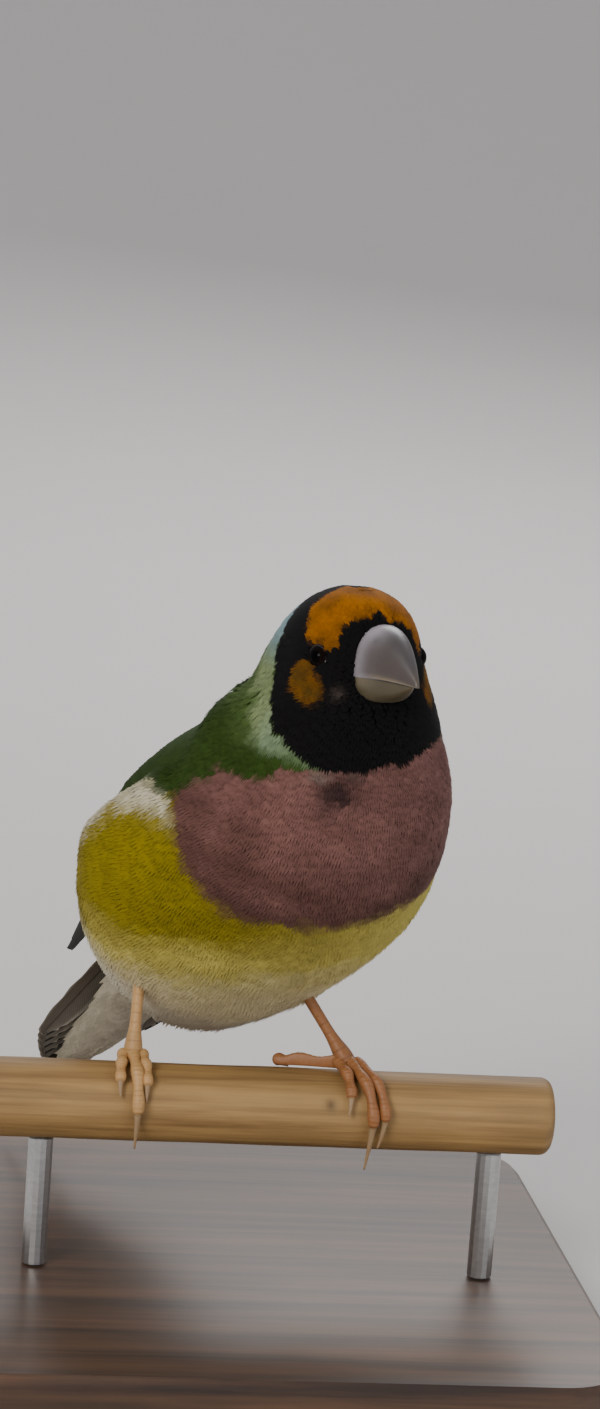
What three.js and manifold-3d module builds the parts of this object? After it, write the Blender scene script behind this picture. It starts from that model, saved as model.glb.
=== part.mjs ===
// A male Gouldian finch, life size, fluffed up on a short length of wooden perch above a flat base.
// Millimetres, +Z up. The origin is the middle of the base's underside and the perch runs along X above it.
import * as THREE from "three";
import { mergeVertices } from "three/addons/utils/BufferGeometryUtils.js";
import Module from "manifold-3d";

const wasm = await Module();
wasm.setup();

// Driving sizes
const gap = 0.3; // between nodes that touch
const perch = { radius: 5, length: 73, height: 28, endRound: 1.4, sides: 24 };
const base = { width: 86, depth: 94, thickness: 6, edge: 1, corner: 9, ahead: 38 }; // ahead of the perch
const rod = { radius: 1.6, spread: 29, sides: 14 };
const birdYaw = 20; // degrees that the bird's heading turns to its left from square to the perch
const seat = { x: -2.1, y: 0 }; // where the bird's own origin lies on the perch's axis

// The bird's own frame: x to its left, y behind it, z up, with its origin on the perch's axis.
// Stations of the body from crown to vent: [y, z, half width, depth to the front, depth to the back].
const stations = [
  [-18.6, 69.6, 7.6, 7.7, 10.2],
  [-18.4, 64.5, 7.6, 7.8, 11.6],
  [-17.8, 59.1, 9.3, 9.0, 14.0],
  [-17.3, 53.2, 11.8, 10.9, 15.3],
  [-15.2, 47.3, 15.0, 14.4, 15.7],
  [-10.6, 41.6, 17.6, 16.5, 15.2],
  [-3.7, 36.3, 19.1, 16.8, 14.7],
  [4.7, 30.5, 20.9, 17.2, 14.7],
  [12.6, 24.1, 18.6, 16.2, 13.8],
  [20.2, 18.0, 15.0, 13.7, 10.8],
  [27.1, 13.4, 9.2, 9.0, 7.2],
];
const crownCap = 0.14; // share of the body's length that rounds off at the crown
const ventCap = 0.1; // and at the vent
const bodyMesh = { rings: 28, sides: 26, poleEasing: 0.4 };
const flank = { from: 0.48, to: 0.95, angle: 97, spread: 32, rise: 2.2 }; // loose feathers by the wing
const headCut = { y: -18, z: 50.4, tilt: 25 }; // the thin cuts that part head, neck and torso
const neckCut = { y: -12.5, z: 43.4, tilt: 32 };

const eye = { x: 6.2, y: -22.4, z: 61.6, radius: 1.5, lidRadius: 1.35, lid: 0.32 };
const bill = {
  y: -25.6,
  z: 60,
  pitch: -6, // degrees below level
  width: 3.65,
  culmen: 5.9,
  jaw: 3.1,
  length: 8.8,
  jawLength: 7.6,
  root: 3, // length inside the face
  hook: 0.012,
};

const wing = {
  // Stations of the surface under a folded wing, shoulder to tip: [y, z, half width, depth to the back]
  stations: [
    [-12.6, 41.6, 15.4, 14.4],
    [-4.2, 36.0, 18.4, 14.3],
    [4.0, 30.2, 19.8, 14.0],
    [13.6, 24.2, 17.8, 12.6],
    [25.0, 17.8, 13.4, 8.8],
    [39.0, 9.4, 10.2, 5.4],
  ],
};
const pad = { from: 0, to: 0.56, middle: 13.6, tipMiddle: 11, reach: 9.8, thickness: 2.5, sink: 0.1 };
// Rows of wing feathers: root as [t, aside, step of aside], tip as [t, step of t, aside, step of aside]
const primaries = {
  count: 8,
  root: [0.42, 16, 0.9],
  tip: [0.81, 0.028, 5.4, 0.6],
  width: 3.1,
  lift: [0.95, -0.12],
};
const secondaries = {
  count: 5,
  root: [0.3, 18.5, -2.3],
  tip: [0.79, -0.018, 8, -0.6],
  width: 3.7,
  lift: [1.1, 0.14],
};
const tertials = {
  count: 3,
  root: [0.28, 9.5, -2.2],
  tip: [0.75, -0.055, 6.6, -1.5],
  width: 4.1,
  lift: [1.5, 0.2],
};
const coverts = {
  count: 7,
  root: [0.12, 20, -2.6],
  tip: [0.45, -0.007, 18, -2.2],
  width: 2.9,
  lift: [1.5, 0.05],
};

const tail = {
  x: -1.6,
  y: 20.5,
  z: 23.8,
  slope: 47, // degrees below level
  swing: 9, // degrees that it turns to the bird's right
  roof: 4, // how far each half slopes down from the ridge
  pairs: 6,
  length: 44,
  shorten: 2.6, // each next pair
  streamer: 13, // by which the middle pair is longer
  halfWidth: 3.4,
  aside: [1.7, 0.72],
  fan: [0.4, 1.5],
  drop: 0.42,
};
const undertail = { from: 10, to: 40, halfWidth: 7, depth: 3.2, below: 0.9 };

const leg = { radius: 0.78, pad: 1.35, sides: 9 };
// Places on the perch: the foot, the point inside the belly that the shank runs to, and the toes as
// [degrees round the perch, sideways start, sideways drift, base radius, drop of the claw].
const legPlaces = {
  right: {
    foot: -18,
    top: [-17.2, 4.5, 24],
    toes: [
      [118, 0, 0.7, 0.8, 1.8],
      [72, 1.25, 0.5, 0.72, 0.3],
      [66, -1.25, -0.4, 0.72, 0.3],
      [-104, 0, -0.3, 0.84, 0.3],
    ],
  },
  left: {
    foot: 9.2,
    top: [-1.5, 5.5, 22],
    toes: [
      [126, 0.5, 2.9, 0.82, 2.9],
      [80, -0.8, 1.3, 0.74, 0.3],
      [116, 1.6, 3.3, 0.74, 0.8],
      [-38, -0.7, -7.6, 0.8, 0.3],
    ],
  },
};
const claw = { share: 0.27, tip: 0.14 };

const deg = THREE.MathUtils.degToRad;
const mix = THREE.MathUtils.lerp;
const smooth = THREE.MathUtils.smoothstep;
const vector = (x, y, z) => new THREE.Vector3(x, y, z);

// Solids
function solidOf(geometry) {
  const bare = new THREE.BufferGeometry();
  bare.setAttribute("position", geometry.getAttribute("position"));
  if (geometry.index) bare.setIndex(geometry.index);
  const merged = mergeVertices(bare, 1e-4);
  return new wasm.Manifold(
    new wasm.Mesh({
      numProp: 3,
      vertProperties: merged.getAttribute("position").array,
      triVerts: new Uint32Array(merged.index.array),
    }),
  );
}

function geometryOf(solid) {
  const mesh = solid.getMesh();
  const points = new Float32Array(mesh.numVert * 3);
  for (let i = 0; i < mesh.numVert; i++) {
    points.set(mesh.vertProperties.subarray(i * mesh.numProp, i * mesh.numProp + 3), i * 3);
  }
  const geometry = new THREE.BufferGeometry();
  geometry.setAttribute("position", new THREE.BufferAttribute(points, 3));
  geometry.setIndex(new THREE.BufferAttribute(new Uint32Array(mesh.triVerts), 1));
  geometry.computeVertexNormals();
  return geometry;
}

const joined = (solids) => solids.reduce((whole, next) => whole.add(next));

function largest(solid) {
  return solid.decompose().reduce((most, next) => (next.volume() > most.volume() ? next : most));
}

// A closed skin over rings of points, with one point at each end. The sides in turned are split
// along their other diagonal, so that both faces of a thin vane are split alike.
function skinOver(first, rings, last, turned = []) {
  const sides = rings[0].length;
  const points = [first, ...rings.flat(), last];
  const end = 1 + (rings.length - 1) * sides;
  const faces = [];
  for (let i = 0; i < sides; i++) {
    const j = (i + 1) % sides;
    faces.push([0, 1 + j, 1 + i], [end + i, end + j, points.length - 1]);
    for (let a = 1; a < end; a += sides) {
      const b = a + sides;
      if (turned.includes(i)) faces.push([a + i, a + j, b + j], [a + i, b + j, b + i]);
      else faces.push([a + i, a + j, b + i], [a + j, b + j, b + i]);
    }
  }
  const solidFrom = (list) => {
    const geometry = new THREE.BufferGeometry().setFromPoints(points);
    return solidOf(geometry.setIndex(list.flat()));
  };
  const solid = solidFrom(faces);
  return solid.volume() > 0 ? solid : solidFrom(faces.map(([a, b, c]) => [a, c, b]));
}

function placed(geometry, move, turn = [0, 0, 0]) {
  const matrix = new THREE.Matrix4().makeRotationFromEuler(new THREE.Euler(...turn.map(deg)));
  return solidOf(geometry.applyMatrix4(matrix.setPosition(...move)));
}

// The body's surface
const spine = new THREE.CatmullRomCurve3(stations.map(([y, z]) => vector(0, y, z)));
const girth = new THREE.CatmullRomCurve3(stations.map(([, , w, f, b]) => vector(w, f, b)));

function capShare(t, share) {
  const part = Math.min(1, t / share);
  return Math.sqrt(1 - (1 - part) ** 2);
}

// A point of the surface: t from crown to vent, angle in degrees from the middle of the back towards
// the bird's left, and how far outside the surface it lies.
function onBody(t, angle, out = 0) {
  const along = spine.getTangent(t);
  const back = vector(0, -along.z, along.y);
  const size = girth.getPoint(t);
  const round = Math.min(capShare(t, crownCap), capShare(1 - t, ventCap));
  const turn = deg(angle);
  const offFlank = Math.min(angle, 360 - angle) - flank.angle;
  const length = smooth(t, flank.from, flank.from + 0.16) * (1 - smooth(t, flank.to - 0.2, flank.to));
  const puff = flank.rise * Math.exp(-((offFlank / flank.spread) ** 2)) * length;
  const depth = ((Math.cos(turn) > 0 ? size.z : size.y) + puff) * round + out;
  const width = (size.x + puff) * round + out;
  return spine
    .getPoint(t)
    .add(vector(Math.sin(turn) * width, 0, 0))
    .addScaledVector(back, Math.cos(turn) * depth);
}

function bodySolid(out = 0) {
  const rings = [];
  for (let r = 0; r < bodyMesh.rings; r++) {
    const even = (r + 0.35) / (bodyMesh.rings - 0.3);
    const eased = 0.5 - 0.5 * Math.cos(Math.PI * even);
    const t = mix(even, eased, bodyMesh.poleEasing);
    rings.push(Array.from({ length: bodyMesh.sides }, (_, s) => onBody(t, (s * 360) / bodyMesh.sides, out)));
  }
  const crown = spine.getPoint(0).addScaledVector(spine.getTangent(0), -out);
  const vent = spine.getPoint(1).addScaledVector(spine.getTangent(1), out);
  return skinOver(crown, rings, vent);
}

const thinCut = ({ y, z, tilt }) => placed(new THREE.BoxGeometry(120, 120, gap), [0, y, z], [tilt, 0, 0]);

// A frame that runs along the tail: along its ridge, across each half's slope, and out of its upper face
function onTail(side, along, across, height, roof = tail.roof) {
  const down = deg(tail.slope);
  const tilt = deg(roof);
  const run = vector(0, Math.cos(down), -Math.sin(down));
  const up = vector(0, Math.sin(down), Math.cos(down));
  return vector(0, 0, 0)
    .addScaledVector(run, along)
    .addScaledVector(vector(side, 0, 0), across * Math.cos(tilt) + height * Math.sin(tilt))
    .addScaledVector(up, height * Math.cos(tilt) - across * Math.sin(tilt))
    .applyAxisAngle(vector(0, 0, 1), deg(tail.swing))
    .add(vector(tail.x, tail.y, tail.z));
}

// A vane: a thin plate, thicker at its shaft, on a surface given by place(share of length, aside, height).
// The profile is a list of [share of length, half width] from root to tip.
function vane(place, profile, thick, lean = 0) {
  const rings = profile.map(([s, half]) => {
    const shaft = thick * (1 - 0.35 * s);
    const edge = shaft * 0.5;
    const at = (aside, height) => place(s, aside, height + (lean * aside) / Math.max(half, 1));
    return [
      at(-half, -edge / 2),
      at(-half, edge / 2),
      at(0, shaft / 2),
      at(half, edge / 2),
      at(half, -edge / 2),
      at(0, -shaft / 2),
    ];
  });
  const [first] = profile[0];
  const tipShare = profile[profile.length - 1][0] + 0.015;
  return skinOver(place(first - 0.01, 0, 0), rings, place(tipShare, 0, 0), [4, 5]);
}

const roundVane = (half) => [
  [0, half * 0.45],
  [0.3, half * 0.9],
  [0.62, half],
  [0.85, half * 0.86],
  [0.96, half * 0.5],
];
const pointedVane = (half) => [
  [0, half * 0.5],
  [0.35, half],
  [0.7, half * 0.92],
  [0.9, half * 0.62],
  [0.985, half * 0.2],
];
const streamerVane = (half) => [
  [0, half * 0.6],
  [0.3, half],
  [0.58, half * 0.8],
  [0.74, half * 0.36],
  [0.86, half * 0.16],
  [0.985, half * 0.1],
];

// The wing's own surface, with aside in millimetres from the middle of the back
const wingSpine = new THREE.CatmullRomCurve3(wing.stations.map(([y, z]) => vector(0, y, z)));
const wingGirth = new THREE.CatmullRomCurve3(wing.stations.map(([, , w, b]) => vector(w, b, 0)));

function onWing(side, t, aside, height) {
  const at = THREE.MathUtils.clamp(t, 0, 1);
  const along = wingSpine.getTangent(at);
  const back = vector(0, -along.z, along.y);
  const size = wingGirth.getPoint(at);
  const turn = aside / ((size.x + size.y) / 2);
  return wingSpine
    .getPoint(at)
    .addScaledVector(along, (t - at) * 60)
    .add(vector(side * Math.sin(turn) * (size.x + height), 0, 0))
    .addScaledVector(back, Math.cos(turn) * (size.y + height));
}

function featherRow(side, row, profile, lean) {
  return Array.from({ length: row.count }, (_, i) => {
    const root = [row.root[0], row.root[1] + row.root[2] * i];
    const tip = [row.tip[0] + row.tip[1] * i, row.tip[2] + row.tip[3] * i];
    const lift = row.lift[0] + row.lift[1] * i;
    const place = (s, aside, height) => {
      const middle = mix(root[1], tip[1], s * (0.85 + 0.15 * s));
      return onWing(side, mix(root[0], tip[0], s), middle + aside, height + lift);
    };
    return vane(place, profile(row.width), 0.75, lean);
  });
}

function wingPad(side) {
  const rings = [];
  const count = 9;
  for (let r = 0; r < count; r++) {
    const s = (r + 0.5) / count;
    const t = mix(pad.from, pad.to, s);
    const middle = mix(pad.middle, pad.tipMiddle, s);
    const round = Math.sin(Math.PI * mix(0.14, 0.9, s)) ** 0.6;
    rings.push(
      Array.from({ length: 12 }, (_, k) => {
        const turn = (k * Math.PI) / 6;
        const aside = middle + pad.reach * round * Math.cos(turn);
        return onWing(side, t, aside, pad.thickness * round * Math.sin(turn) - pad.sink);
      }),
    );
  }
  const end = (s, t) => onWing(side, t, mix(pad.middle, pad.tipMiddle, s), -pad.sink);
  return skinOver(end(0, pad.from - 0.01), rings, end(1, pad.to + 0.01));
}

function wingSolid(side, bodyRoom) {
  const feathers = [
    ...featherRow(side, primaries, pointedVane, -0.22),
    ...featherRow(side, secondaries, roundVane, -0.22),
    ...featherRow(side, tertials, roundVane, -0.22),
    ...featherRow(side, coverts, roundVane, -0.22),
  ];
  const halfRoom = placed(new THREE.BoxGeometry(gap, 160, 160), [0, 0, 40]);
  return largest(joined([wingPad(side), ...feathers]).subtract(bodyRoom).subtract(halfRoom));
}

function tailVanes(extra = 0) {
  const vanes = [];
  for (let k = 0; k < tail.pairs; k++) {
    for (const side of [-1, 1]) {
      const length = k === 0 ? tail.length + tail.streamer : tail.length - tail.shorten * k;
      const turn = deg(tail.fan[0] + tail.fan[1] * k);
      const aside = tail.aside[0] + tail.aside[1] * k;
      const drop = tail.drop * k - (side > 0 && k === 0 ? 0.25 : 0);
      const place = (s, across, height) => {
        const outward = aside + s * length * Math.sin(turn);
        return onTail(side, s * length * Math.cos(turn), outward + across, height - drop);
      };
      const profile = k === 0 ? streamerVane : roundVane;
      vanes.push(vane(place, profile(tail.halfWidth + extra), 0.8 + 2 * extra, 0.12));
    }
  }
  return vanes;
}

function undertailSolid(out = 0) {
  const rings = [];
  const count = 9;
  for (let r = 0; r < count; r++) {
    const s = (r + 0.5) / count;
    const round = Math.sqrt(1 - s ** 1.9) * capShare(s + 0.02, 0.3);
    const along = mix(undertail.from - 12, undertail.to, s);
    rings.push(
      Array.from({ length: 14 }, (_, k) => {
        const turn = (k * Math.PI) / 7;
        const across = Math.sin(turn) * (undertail.halfWidth * round + out);
        const height = (Math.cos(turn) - 0.8) * (undertail.depth * round + out) - undertail.below;
        return onTail(1, along, across, height, 0);
      }),
    );
  }
  const end = (along) => onTail(1, along, 0, -undertail.below - 1, 0);
  return skinOver(end(undertail.from - 12.5 - out), rings, end(undertail.to + 0.5 + out));
}

// Bill halves in a frame that runs out along the gape
function billHalf({ length, width, height, inner }, square = 0.7) {
  const steps = 8;
  const pitch = deg(bill.pitch);
  const run = vector(0, -Math.cos(pitch), -Math.sin(pitch));
  const up = vector(0, -Math.sin(pitch), Math.cos(pitch));
  const at = (s, x, z) => {
    const bent = z - bill.hook * Math.max(s, 0) ** 2;
    return vector(x, bill.y, bill.z).addScaledVector(run, s).addScaledVector(up, bent);
  };
  const rings = [];
  for (let r = 0; r < steps; r++) {
    const s = mix(-bill.root, length, (r + 0.3) / steps);
    const out = Math.max(0, s / length);
    const narrow = (1 - out ** 1.15) * 0.97 + 0.03;
    const low = (1 - out ** 2) * 0.97 + 0.03;
    rings.push(
      Array.from({ length: 16 }, (_, k) => {
        const turn = (k * Math.PI) / 8;
        const sin = Math.sin(turn);
        const cos = Math.cos(turn);
        const x = Math.sign(sin) * Math.abs(sin) ** square * width * narrow;
        return at(s, x, cos > 0 ? cos * height * low : cos * inner * low);
      }),
    );
  }
  return skinOver(at(-bill.root - 0.3, 0, 0), rings, at(length, 0, 0));
}

function billSolids(bodyRoom) {
  const upper = { length: bill.length, width: bill.width, height: bill.culmen, inner: 0.5 };
  const lower = { length: bill.jawLength, width: bill.width * 0.98, height: 0.8, inner: bill.jaw };
  const room = Object.fromEntries(Object.entries(upper).map(([key, value]) => [key, value + gap]));
  const nostrils = [-1, 1].map((side) =>
    placed(new THREE.SphereGeometry(0.55, 10, 8), [side * 2.3, bill.y - 1.5, bill.z + 4.75]),
  );
  return {
    upper: largest(billHalf(upper).subtract(bodyRoom).subtract(joined(nostrils))),
    lower: largest(billHalf(lower, 0.6).subtract(billHalf(room)).subtract(bodyRoom)),
  };
}

// Eyes
const eyeGeometry = (radius) => new THREE.SphereGeometry(radius, 14, 8);
function eyePlace(side) {
  return [side * eye.x, eye.y, eye.z];
}
function lidSolid(side) {
  const ring = new THREE.TorusGeometry(eye.lidRadius, eye.lid, 6, 18);
  const outward = vector(side, -0.42, 0.1).normalize();
  const turn = new THREE.Quaternion().setFromUnitVectors(vector(0, 0, 1), outward);
  const matrix = new THREE.Matrix4().makeRotationFromQuaternion(turn);
  const at = vector(...eyePlace(side)).addScaledVector(outward, eye.radius * 0.42);
  return solidOf(ring.applyMatrix4(matrix.setPosition(at)));
}

// Legs, in the perch's own frame
function toeSolid(foot, [reach, start, drift, radius, drop]) {
  const rings = [];
  const steps = 11;
  const ring = (share) => {
    const inClaw = Math.max(0, (share - (1 - claw.share)) / claw.share);
    const knuckle = 1 + 0.13 * Math.cos(share * Math.PI * 6.2) * (1 - inClaw);
    const thick = mix(radius * mix(1, 0.82, share) * knuckle, claw.tip, inClaw ** 0.85);
    const turn = deg(reach * share);
    const out = perch.radius + gap + Math.max(thick, radius * 0.6) + 0.15 * inClaw;
    const side = start + drift * Math.sin(share * Math.PI * 0.7);
    const centre = vector(foot + side, -out * Math.sin(turn), out * Math.cos(turn) - drop * inClaw ** 2);
    const away = vector(0, -Math.sin(turn), Math.cos(turn));
    return { centre, away, thick };
  };
  for (let r = 0; r < steps; r++) {
    const { centre, away, thick } = ring(r / (steps - 1));
    rings.push(
      Array.from({ length: 6 }, (_, k) => {
        const round = (k * 2 * Math.PI) / 6;
        const aside = vector(Math.sin(round) * thick, 0, 0);
        return centre.clone().addScaledVector(away, Math.cos(round) * thick).add(aside);
      }),
    );
  }
  return skinOver(ring(0).centre, rings, ring(1.01).centre);
}

function legSolid(place, bodyRoom) {
  const ankle = vector(place.foot, 0.4, perch.radius + gap + leg.pad);
  const top = vector(...place.top);
  const run = top.clone().sub(ankle);
  const rings = [];
  const count = 9;
  const aside = vector(1, 0, 0);
  const across = run.clone().normalize().cross(aside).normalize();
  for (let r = 0; r <= count; r++) {
    const s = r / count;
    const flare = Math.exp(-((s / 0.12) ** 2));
    const thick = leg.radius + (leg.pad - leg.radius) * flare + 0.1 * s;
    const centre = ankle.clone().addScaledVector(run, s);
    rings.push(
      Array.from({ length: leg.sides }, (_, k) => {
        const round = (k * 2 * Math.PI) / leg.sides;
        return centre
          .clone()
          .addScaledVector(aside, Math.cos(round) * thick)
          .addScaledVector(across, Math.sin(round) * thick);
      }),
    );
  }
  const low = ankle.clone().addScaledVector(run, -0.015);
  const shank = skinOver(low, rings, top.clone().addScaledVector(run, 0.02));
  const padSolid = placed(new THREE.SphereGeometry(leg.pad, 12, 8), ankle.toArray());
  const toeSolids = place.toes.map((toe) => toeSolid(place.foot, toe));
  return largest(joined([shank, padSolid, ...toeSolids]).subtract(bodyRoom));
}

// Perch and stand, in the perch's frame
function perchSolid(out = 0) {
  const half = perch.length / 2;
  const r = perch.radius + out;
  const round = perch.endRound;
  const profile = [[0, -half]];
  for (let k = 0; k <= 3; k++) {
    const turn = (k * Math.PI) / 6;
    profile.push([r - round + round * Math.sin(turn), -half + round - round * Math.cos(turn)]);
  }
  const far = profile.map(([x, z]) => [x, -z]).reverse();
  const outline = [...profile, ...far].map(([x, z]) => new THREE.Vector2(x, z));
  const lathe = new THREE.LatheGeometry(outline, perch.sides);
  return placed(lathe, [0, 0, 0], [0, 0, 90]);
}

function rodSolid(side, perchRoom) {
  const low = base.thickness + gap - perch.height;
  const shaft = new THREE.CylinderGeometry(rod.radius, rod.radius, -low, rod.sides);
  return largest(placed(shaft, [side * rod.spread, 0, low / 2], [90, 0, 0]).subtract(perchRoom));
}

function baseSolid() {
  const w = base.width / 2 - base.edge;
  const d = base.depth / 2 - base.edge;
  const c = base.corner;
  const outline = new THREE.Shape();
  outline.moveTo(-w + c, -d).lineTo(w - c, -d).absarc(w - c, -d + c, c, -Math.PI / 2, 0, false);
  outline.lineTo(w, d - c).absarc(w - c, d - c, c, 0, Math.PI / 2, false);
  outline.lineTo(-w + c, d).absarc(-w + c, d - c, c, Math.PI / 2, Math.PI, false);
  outline.lineTo(-w, -d + c).absarc(-w + c, -d + c, c, Math.PI, Math.PI * 1.5, false);
  const plate = new THREE.ExtrudeGeometry(outline, {
    depth: base.thickness - base.edge,
    bevelEnabled: true,
    bevelThickness: base.edge,
    bevelSize: base.edge,
    bevelSegments: 1,
    curveSegments: 6,
  });
  const solid = solidOf(plate);
  const below = placed(new THREE.BoxGeometry(300, 300, 20), [0, 0, -10]);
  return solid.subtract(below);
}

// Build
const perchY = base.ahead - base.depth / 2;
const bird = new THREE.Matrix4().makeRotationZ(deg(birdYaw));
bird.setPosition(seat.x, perchY + seat.y, perch.height);
const onPerch = new THREE.Matrix4().makeTranslation(0, perchY, perch.height);
const fromBird = onPerch.clone().invert().multiply(bird); // the bird's frame seen from the perch's

const moved = (solid, matrix) => {
  const mesh = new THREE.Mesh(geometryOf(solid));
  return solidOf(mesh.geometry.applyMatrix4(matrix));
};

const whole = bodySolid();
const bodyRoom = bodySolid(gap);
const tailRoom = joined(tailVanes(gap));
const undertailShape = undertailSolid().subtract(tailRoom);
const eyeRooms = joined([-1, 1].map((side) => placed(eyeGeometry(eye.radius + gap), eyePlace(side))));
const parted = whole.subtract(thinCut(headCut)).subtract(thinCut(neckCut)).decompose();
parted.sort((a, b) => b.boundingBox().max[2] - a.boundingBox().max[2]);
const [headShape, neckShape, torsoShape] = parted;
const head = largest(headShape.add(joined([-1, 1].map(lidSolid))).subtract(eyeRooms));
const torso = largest(torsoShape.add(undertailShape));
const halves = billSolids(bodyRoom);
const legRoom = moved(bodyRoom.add(undertailSolid(gap)), fromBird);
const perchRoom = perchSolid(gap);

const colours = {
  black: [0x0d0b0d, 0.8],
  green: [0x3f6a26, 0.7],
  mauve: [0x8a5f58, 0.8],
  collar: [0x8fae8c, 0.8],
  grey: [0x45423c, 0.6],
  bill: [0x8f8b90, 0.4],
  horn: [0xa89a82, 0.45],
  eye: [0x050505, 0.1],
  leg: [0xc08a5c, 0.6],
  wood: [0xb9955c, 0.8],
  stand: [0x2b2521, 0.5],
  steel: [0x8c8c8c, 0.35],
};

const group = new THREE.Group();
const finch = new THREE.Group();
finch.applyMatrix4(bird);
const perchGroup = new THREE.Group();
perchGroup.applyMatrix4(onPerch);
group.add(finch, perchGroup);

function put(parent, name, solid, [color, roughness], metalness = 0) {
  const material = new THREE.MeshStandardMaterial({ color, roughness, metalness });
  const mesh = new THREE.Mesh(geometryOf(solid), material);
  mesh.name = name;
  parent.add(mesh);
}

put(finch, "head", head, colours.black);
put(finch, "neck", neckShape, colours.collar);
put(finch, "torso", torso, colours.mauve);
put(finch, "bill_upper", halves.upper, colours.bill);
put(finch, "bill_lower", halves.lower, colours.horn);
put(finch, "tail", largest(joined(tailVanes()).subtract(bodyRoom)), colours.grey);
for (const [name, side] of [["right", -1], ["left", 1]]) {
  put(finch, `eye_${name}`, placed(eyeGeometry(eye.radius), eyePlace(side)), colours.eye);
  put(finch, `wing_${name}`, wingSolid(side, bodyRoom), colours.green);
  put(perchGroup, `leg_${name}`, legSolid(legPlaces[name], legRoom), colours.leg);
  put(perchGroup, `stand_rod_${name}`, rodSolid(side, perchRoom), colours.steel, 1);
}
put(perchGroup, "perch", perchSolid(), colours.wood);
put(group, "stand_base", baseSolid(), colours.stand);

export default group;
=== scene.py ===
import bpy
import math
import numpy as np
from mathutils import Matrix, Vector
from mathutils.bvhtree import BVHTree


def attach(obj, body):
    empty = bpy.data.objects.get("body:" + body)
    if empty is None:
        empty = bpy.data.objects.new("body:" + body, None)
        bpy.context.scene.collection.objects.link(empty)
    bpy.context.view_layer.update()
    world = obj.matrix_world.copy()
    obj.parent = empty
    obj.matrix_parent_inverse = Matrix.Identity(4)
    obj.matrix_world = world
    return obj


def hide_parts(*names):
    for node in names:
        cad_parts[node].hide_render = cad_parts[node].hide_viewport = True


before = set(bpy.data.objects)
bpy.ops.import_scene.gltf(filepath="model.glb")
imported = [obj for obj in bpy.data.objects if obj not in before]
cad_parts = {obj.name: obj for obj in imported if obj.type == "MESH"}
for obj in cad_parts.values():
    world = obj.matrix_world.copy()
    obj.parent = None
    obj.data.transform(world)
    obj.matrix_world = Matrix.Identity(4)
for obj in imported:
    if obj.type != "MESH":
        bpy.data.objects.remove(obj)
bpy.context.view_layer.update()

rng = np.random.default_rng(41)

# Where the bird sits. Everything on it is worked out in its own frame in millimetres:
# x to its left, y behind it, z up, with the origin on the perch's axis.
place = {"yaw": 20, "seatX": -2.1, "perchY": -9.0, "perchZ": 28.0}


def turnVectors(v):  # directions from the bird's frame to the row's
    c, s = math.cos(math.radians(place["yaw"])), math.sin(math.radians(place["yaw"]))
    return np.stack([v[..., 0] * c - v[..., 1] * s, v[..., 0] * s + v[..., 1] * c, v[..., 2]], -1)


def birdToRow(points):
    seat = [place["seatX"], place["perchY"], place["perchZ"]]
    return (turnVectors(np.asarray(points, float)) + seat) / 1000


def perchToRow(points):
    return (np.asarray(points, float) + [0, place["perchY"], place["perchZ"]]) / 1000


def smooth(x, low, high):
    k = np.clip((np.asarray(x, float) - low) / (high - low), 0, 1)
    return k * k * (3 - 2 * k)


def mix(a, b, k):
    k = np.asarray(k, float)
    return np.asarray(a, float) * (1 - k[..., None]) + np.asarray(b, float) * k[..., None]


def unit(v):
    return v / np.maximum(np.linalg.norm(v, axis=-1, keepdims=True), 1e-9)


def bump(x, middle, spread):  # 1 at the middle, fading to both sides
    return np.exp(-(((x - middle) / spread) ** 2))


def paint(r, g, b):  # a paint-box colour as Blender's linear values
    c = np.array([r, g, b]) / 255
    return np.where(c <= 0.04045, c / 12.92, ((c + 0.055) / 1.055) ** 2.4)


def uneven(count, spread):  # a seeded brightness for each of count feathers
    return np.exp(rng.normal(0, spread, count))[:, None]


def waves(p, scale, seed=0):  # smooth, seeded unevenness between about -1 and 1
    draw = np.random.default_rng(900 + seed)
    total = np.zeros(p.shape[:-1])
    for _ in range(7):
        direction = unit(draw.normal(size=3))
        total += np.sin((p @ direction) / scale * draw.uniform(3, 8) + draw.uniform(0, 6.3))
    return total / 3.2


def curveAt(points, t):  # the same centripetal curve that the CAD source uses
    pts = np.asarray(points, float)
    last = len(pts) - 1
    i = min(int(last * t), last - 1)
    w = last * t - i
    p1, p2 = pts[i], pts[i + 1]
    p0 = pts[i - 1] if i > 0 else 2 * p1 - p2
    p3 = pts[i + 2] if i + 2 <= last else 2 * p2 - p1
    d0, d1, d2 = [max(np.linalg.norm(b - a), 1e-6) ** 0.5 for a, b in ((p0, p1), (p1, p2), (p2, p3))]
    m1 = ((p1 - p0) / d0 - (p2 - p0) / (d0 + d1) + (p2 - p1) / d1) * d1
    m2 = ((p2 - p1) / d1 - (p3 - p1) / (d1 + d2) + (p3 - p2) / d2) * d1
    return p1 + m1 * w + (3 * (p2 - p1) - 2 * m1 - m2) * w * w + (2 * (p1 - p2) + m1 + m2) * w**3


def curveTable(points, count):
    return np.array([curveAt(points, t) for t in np.linspace(0, 1, count)])


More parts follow.
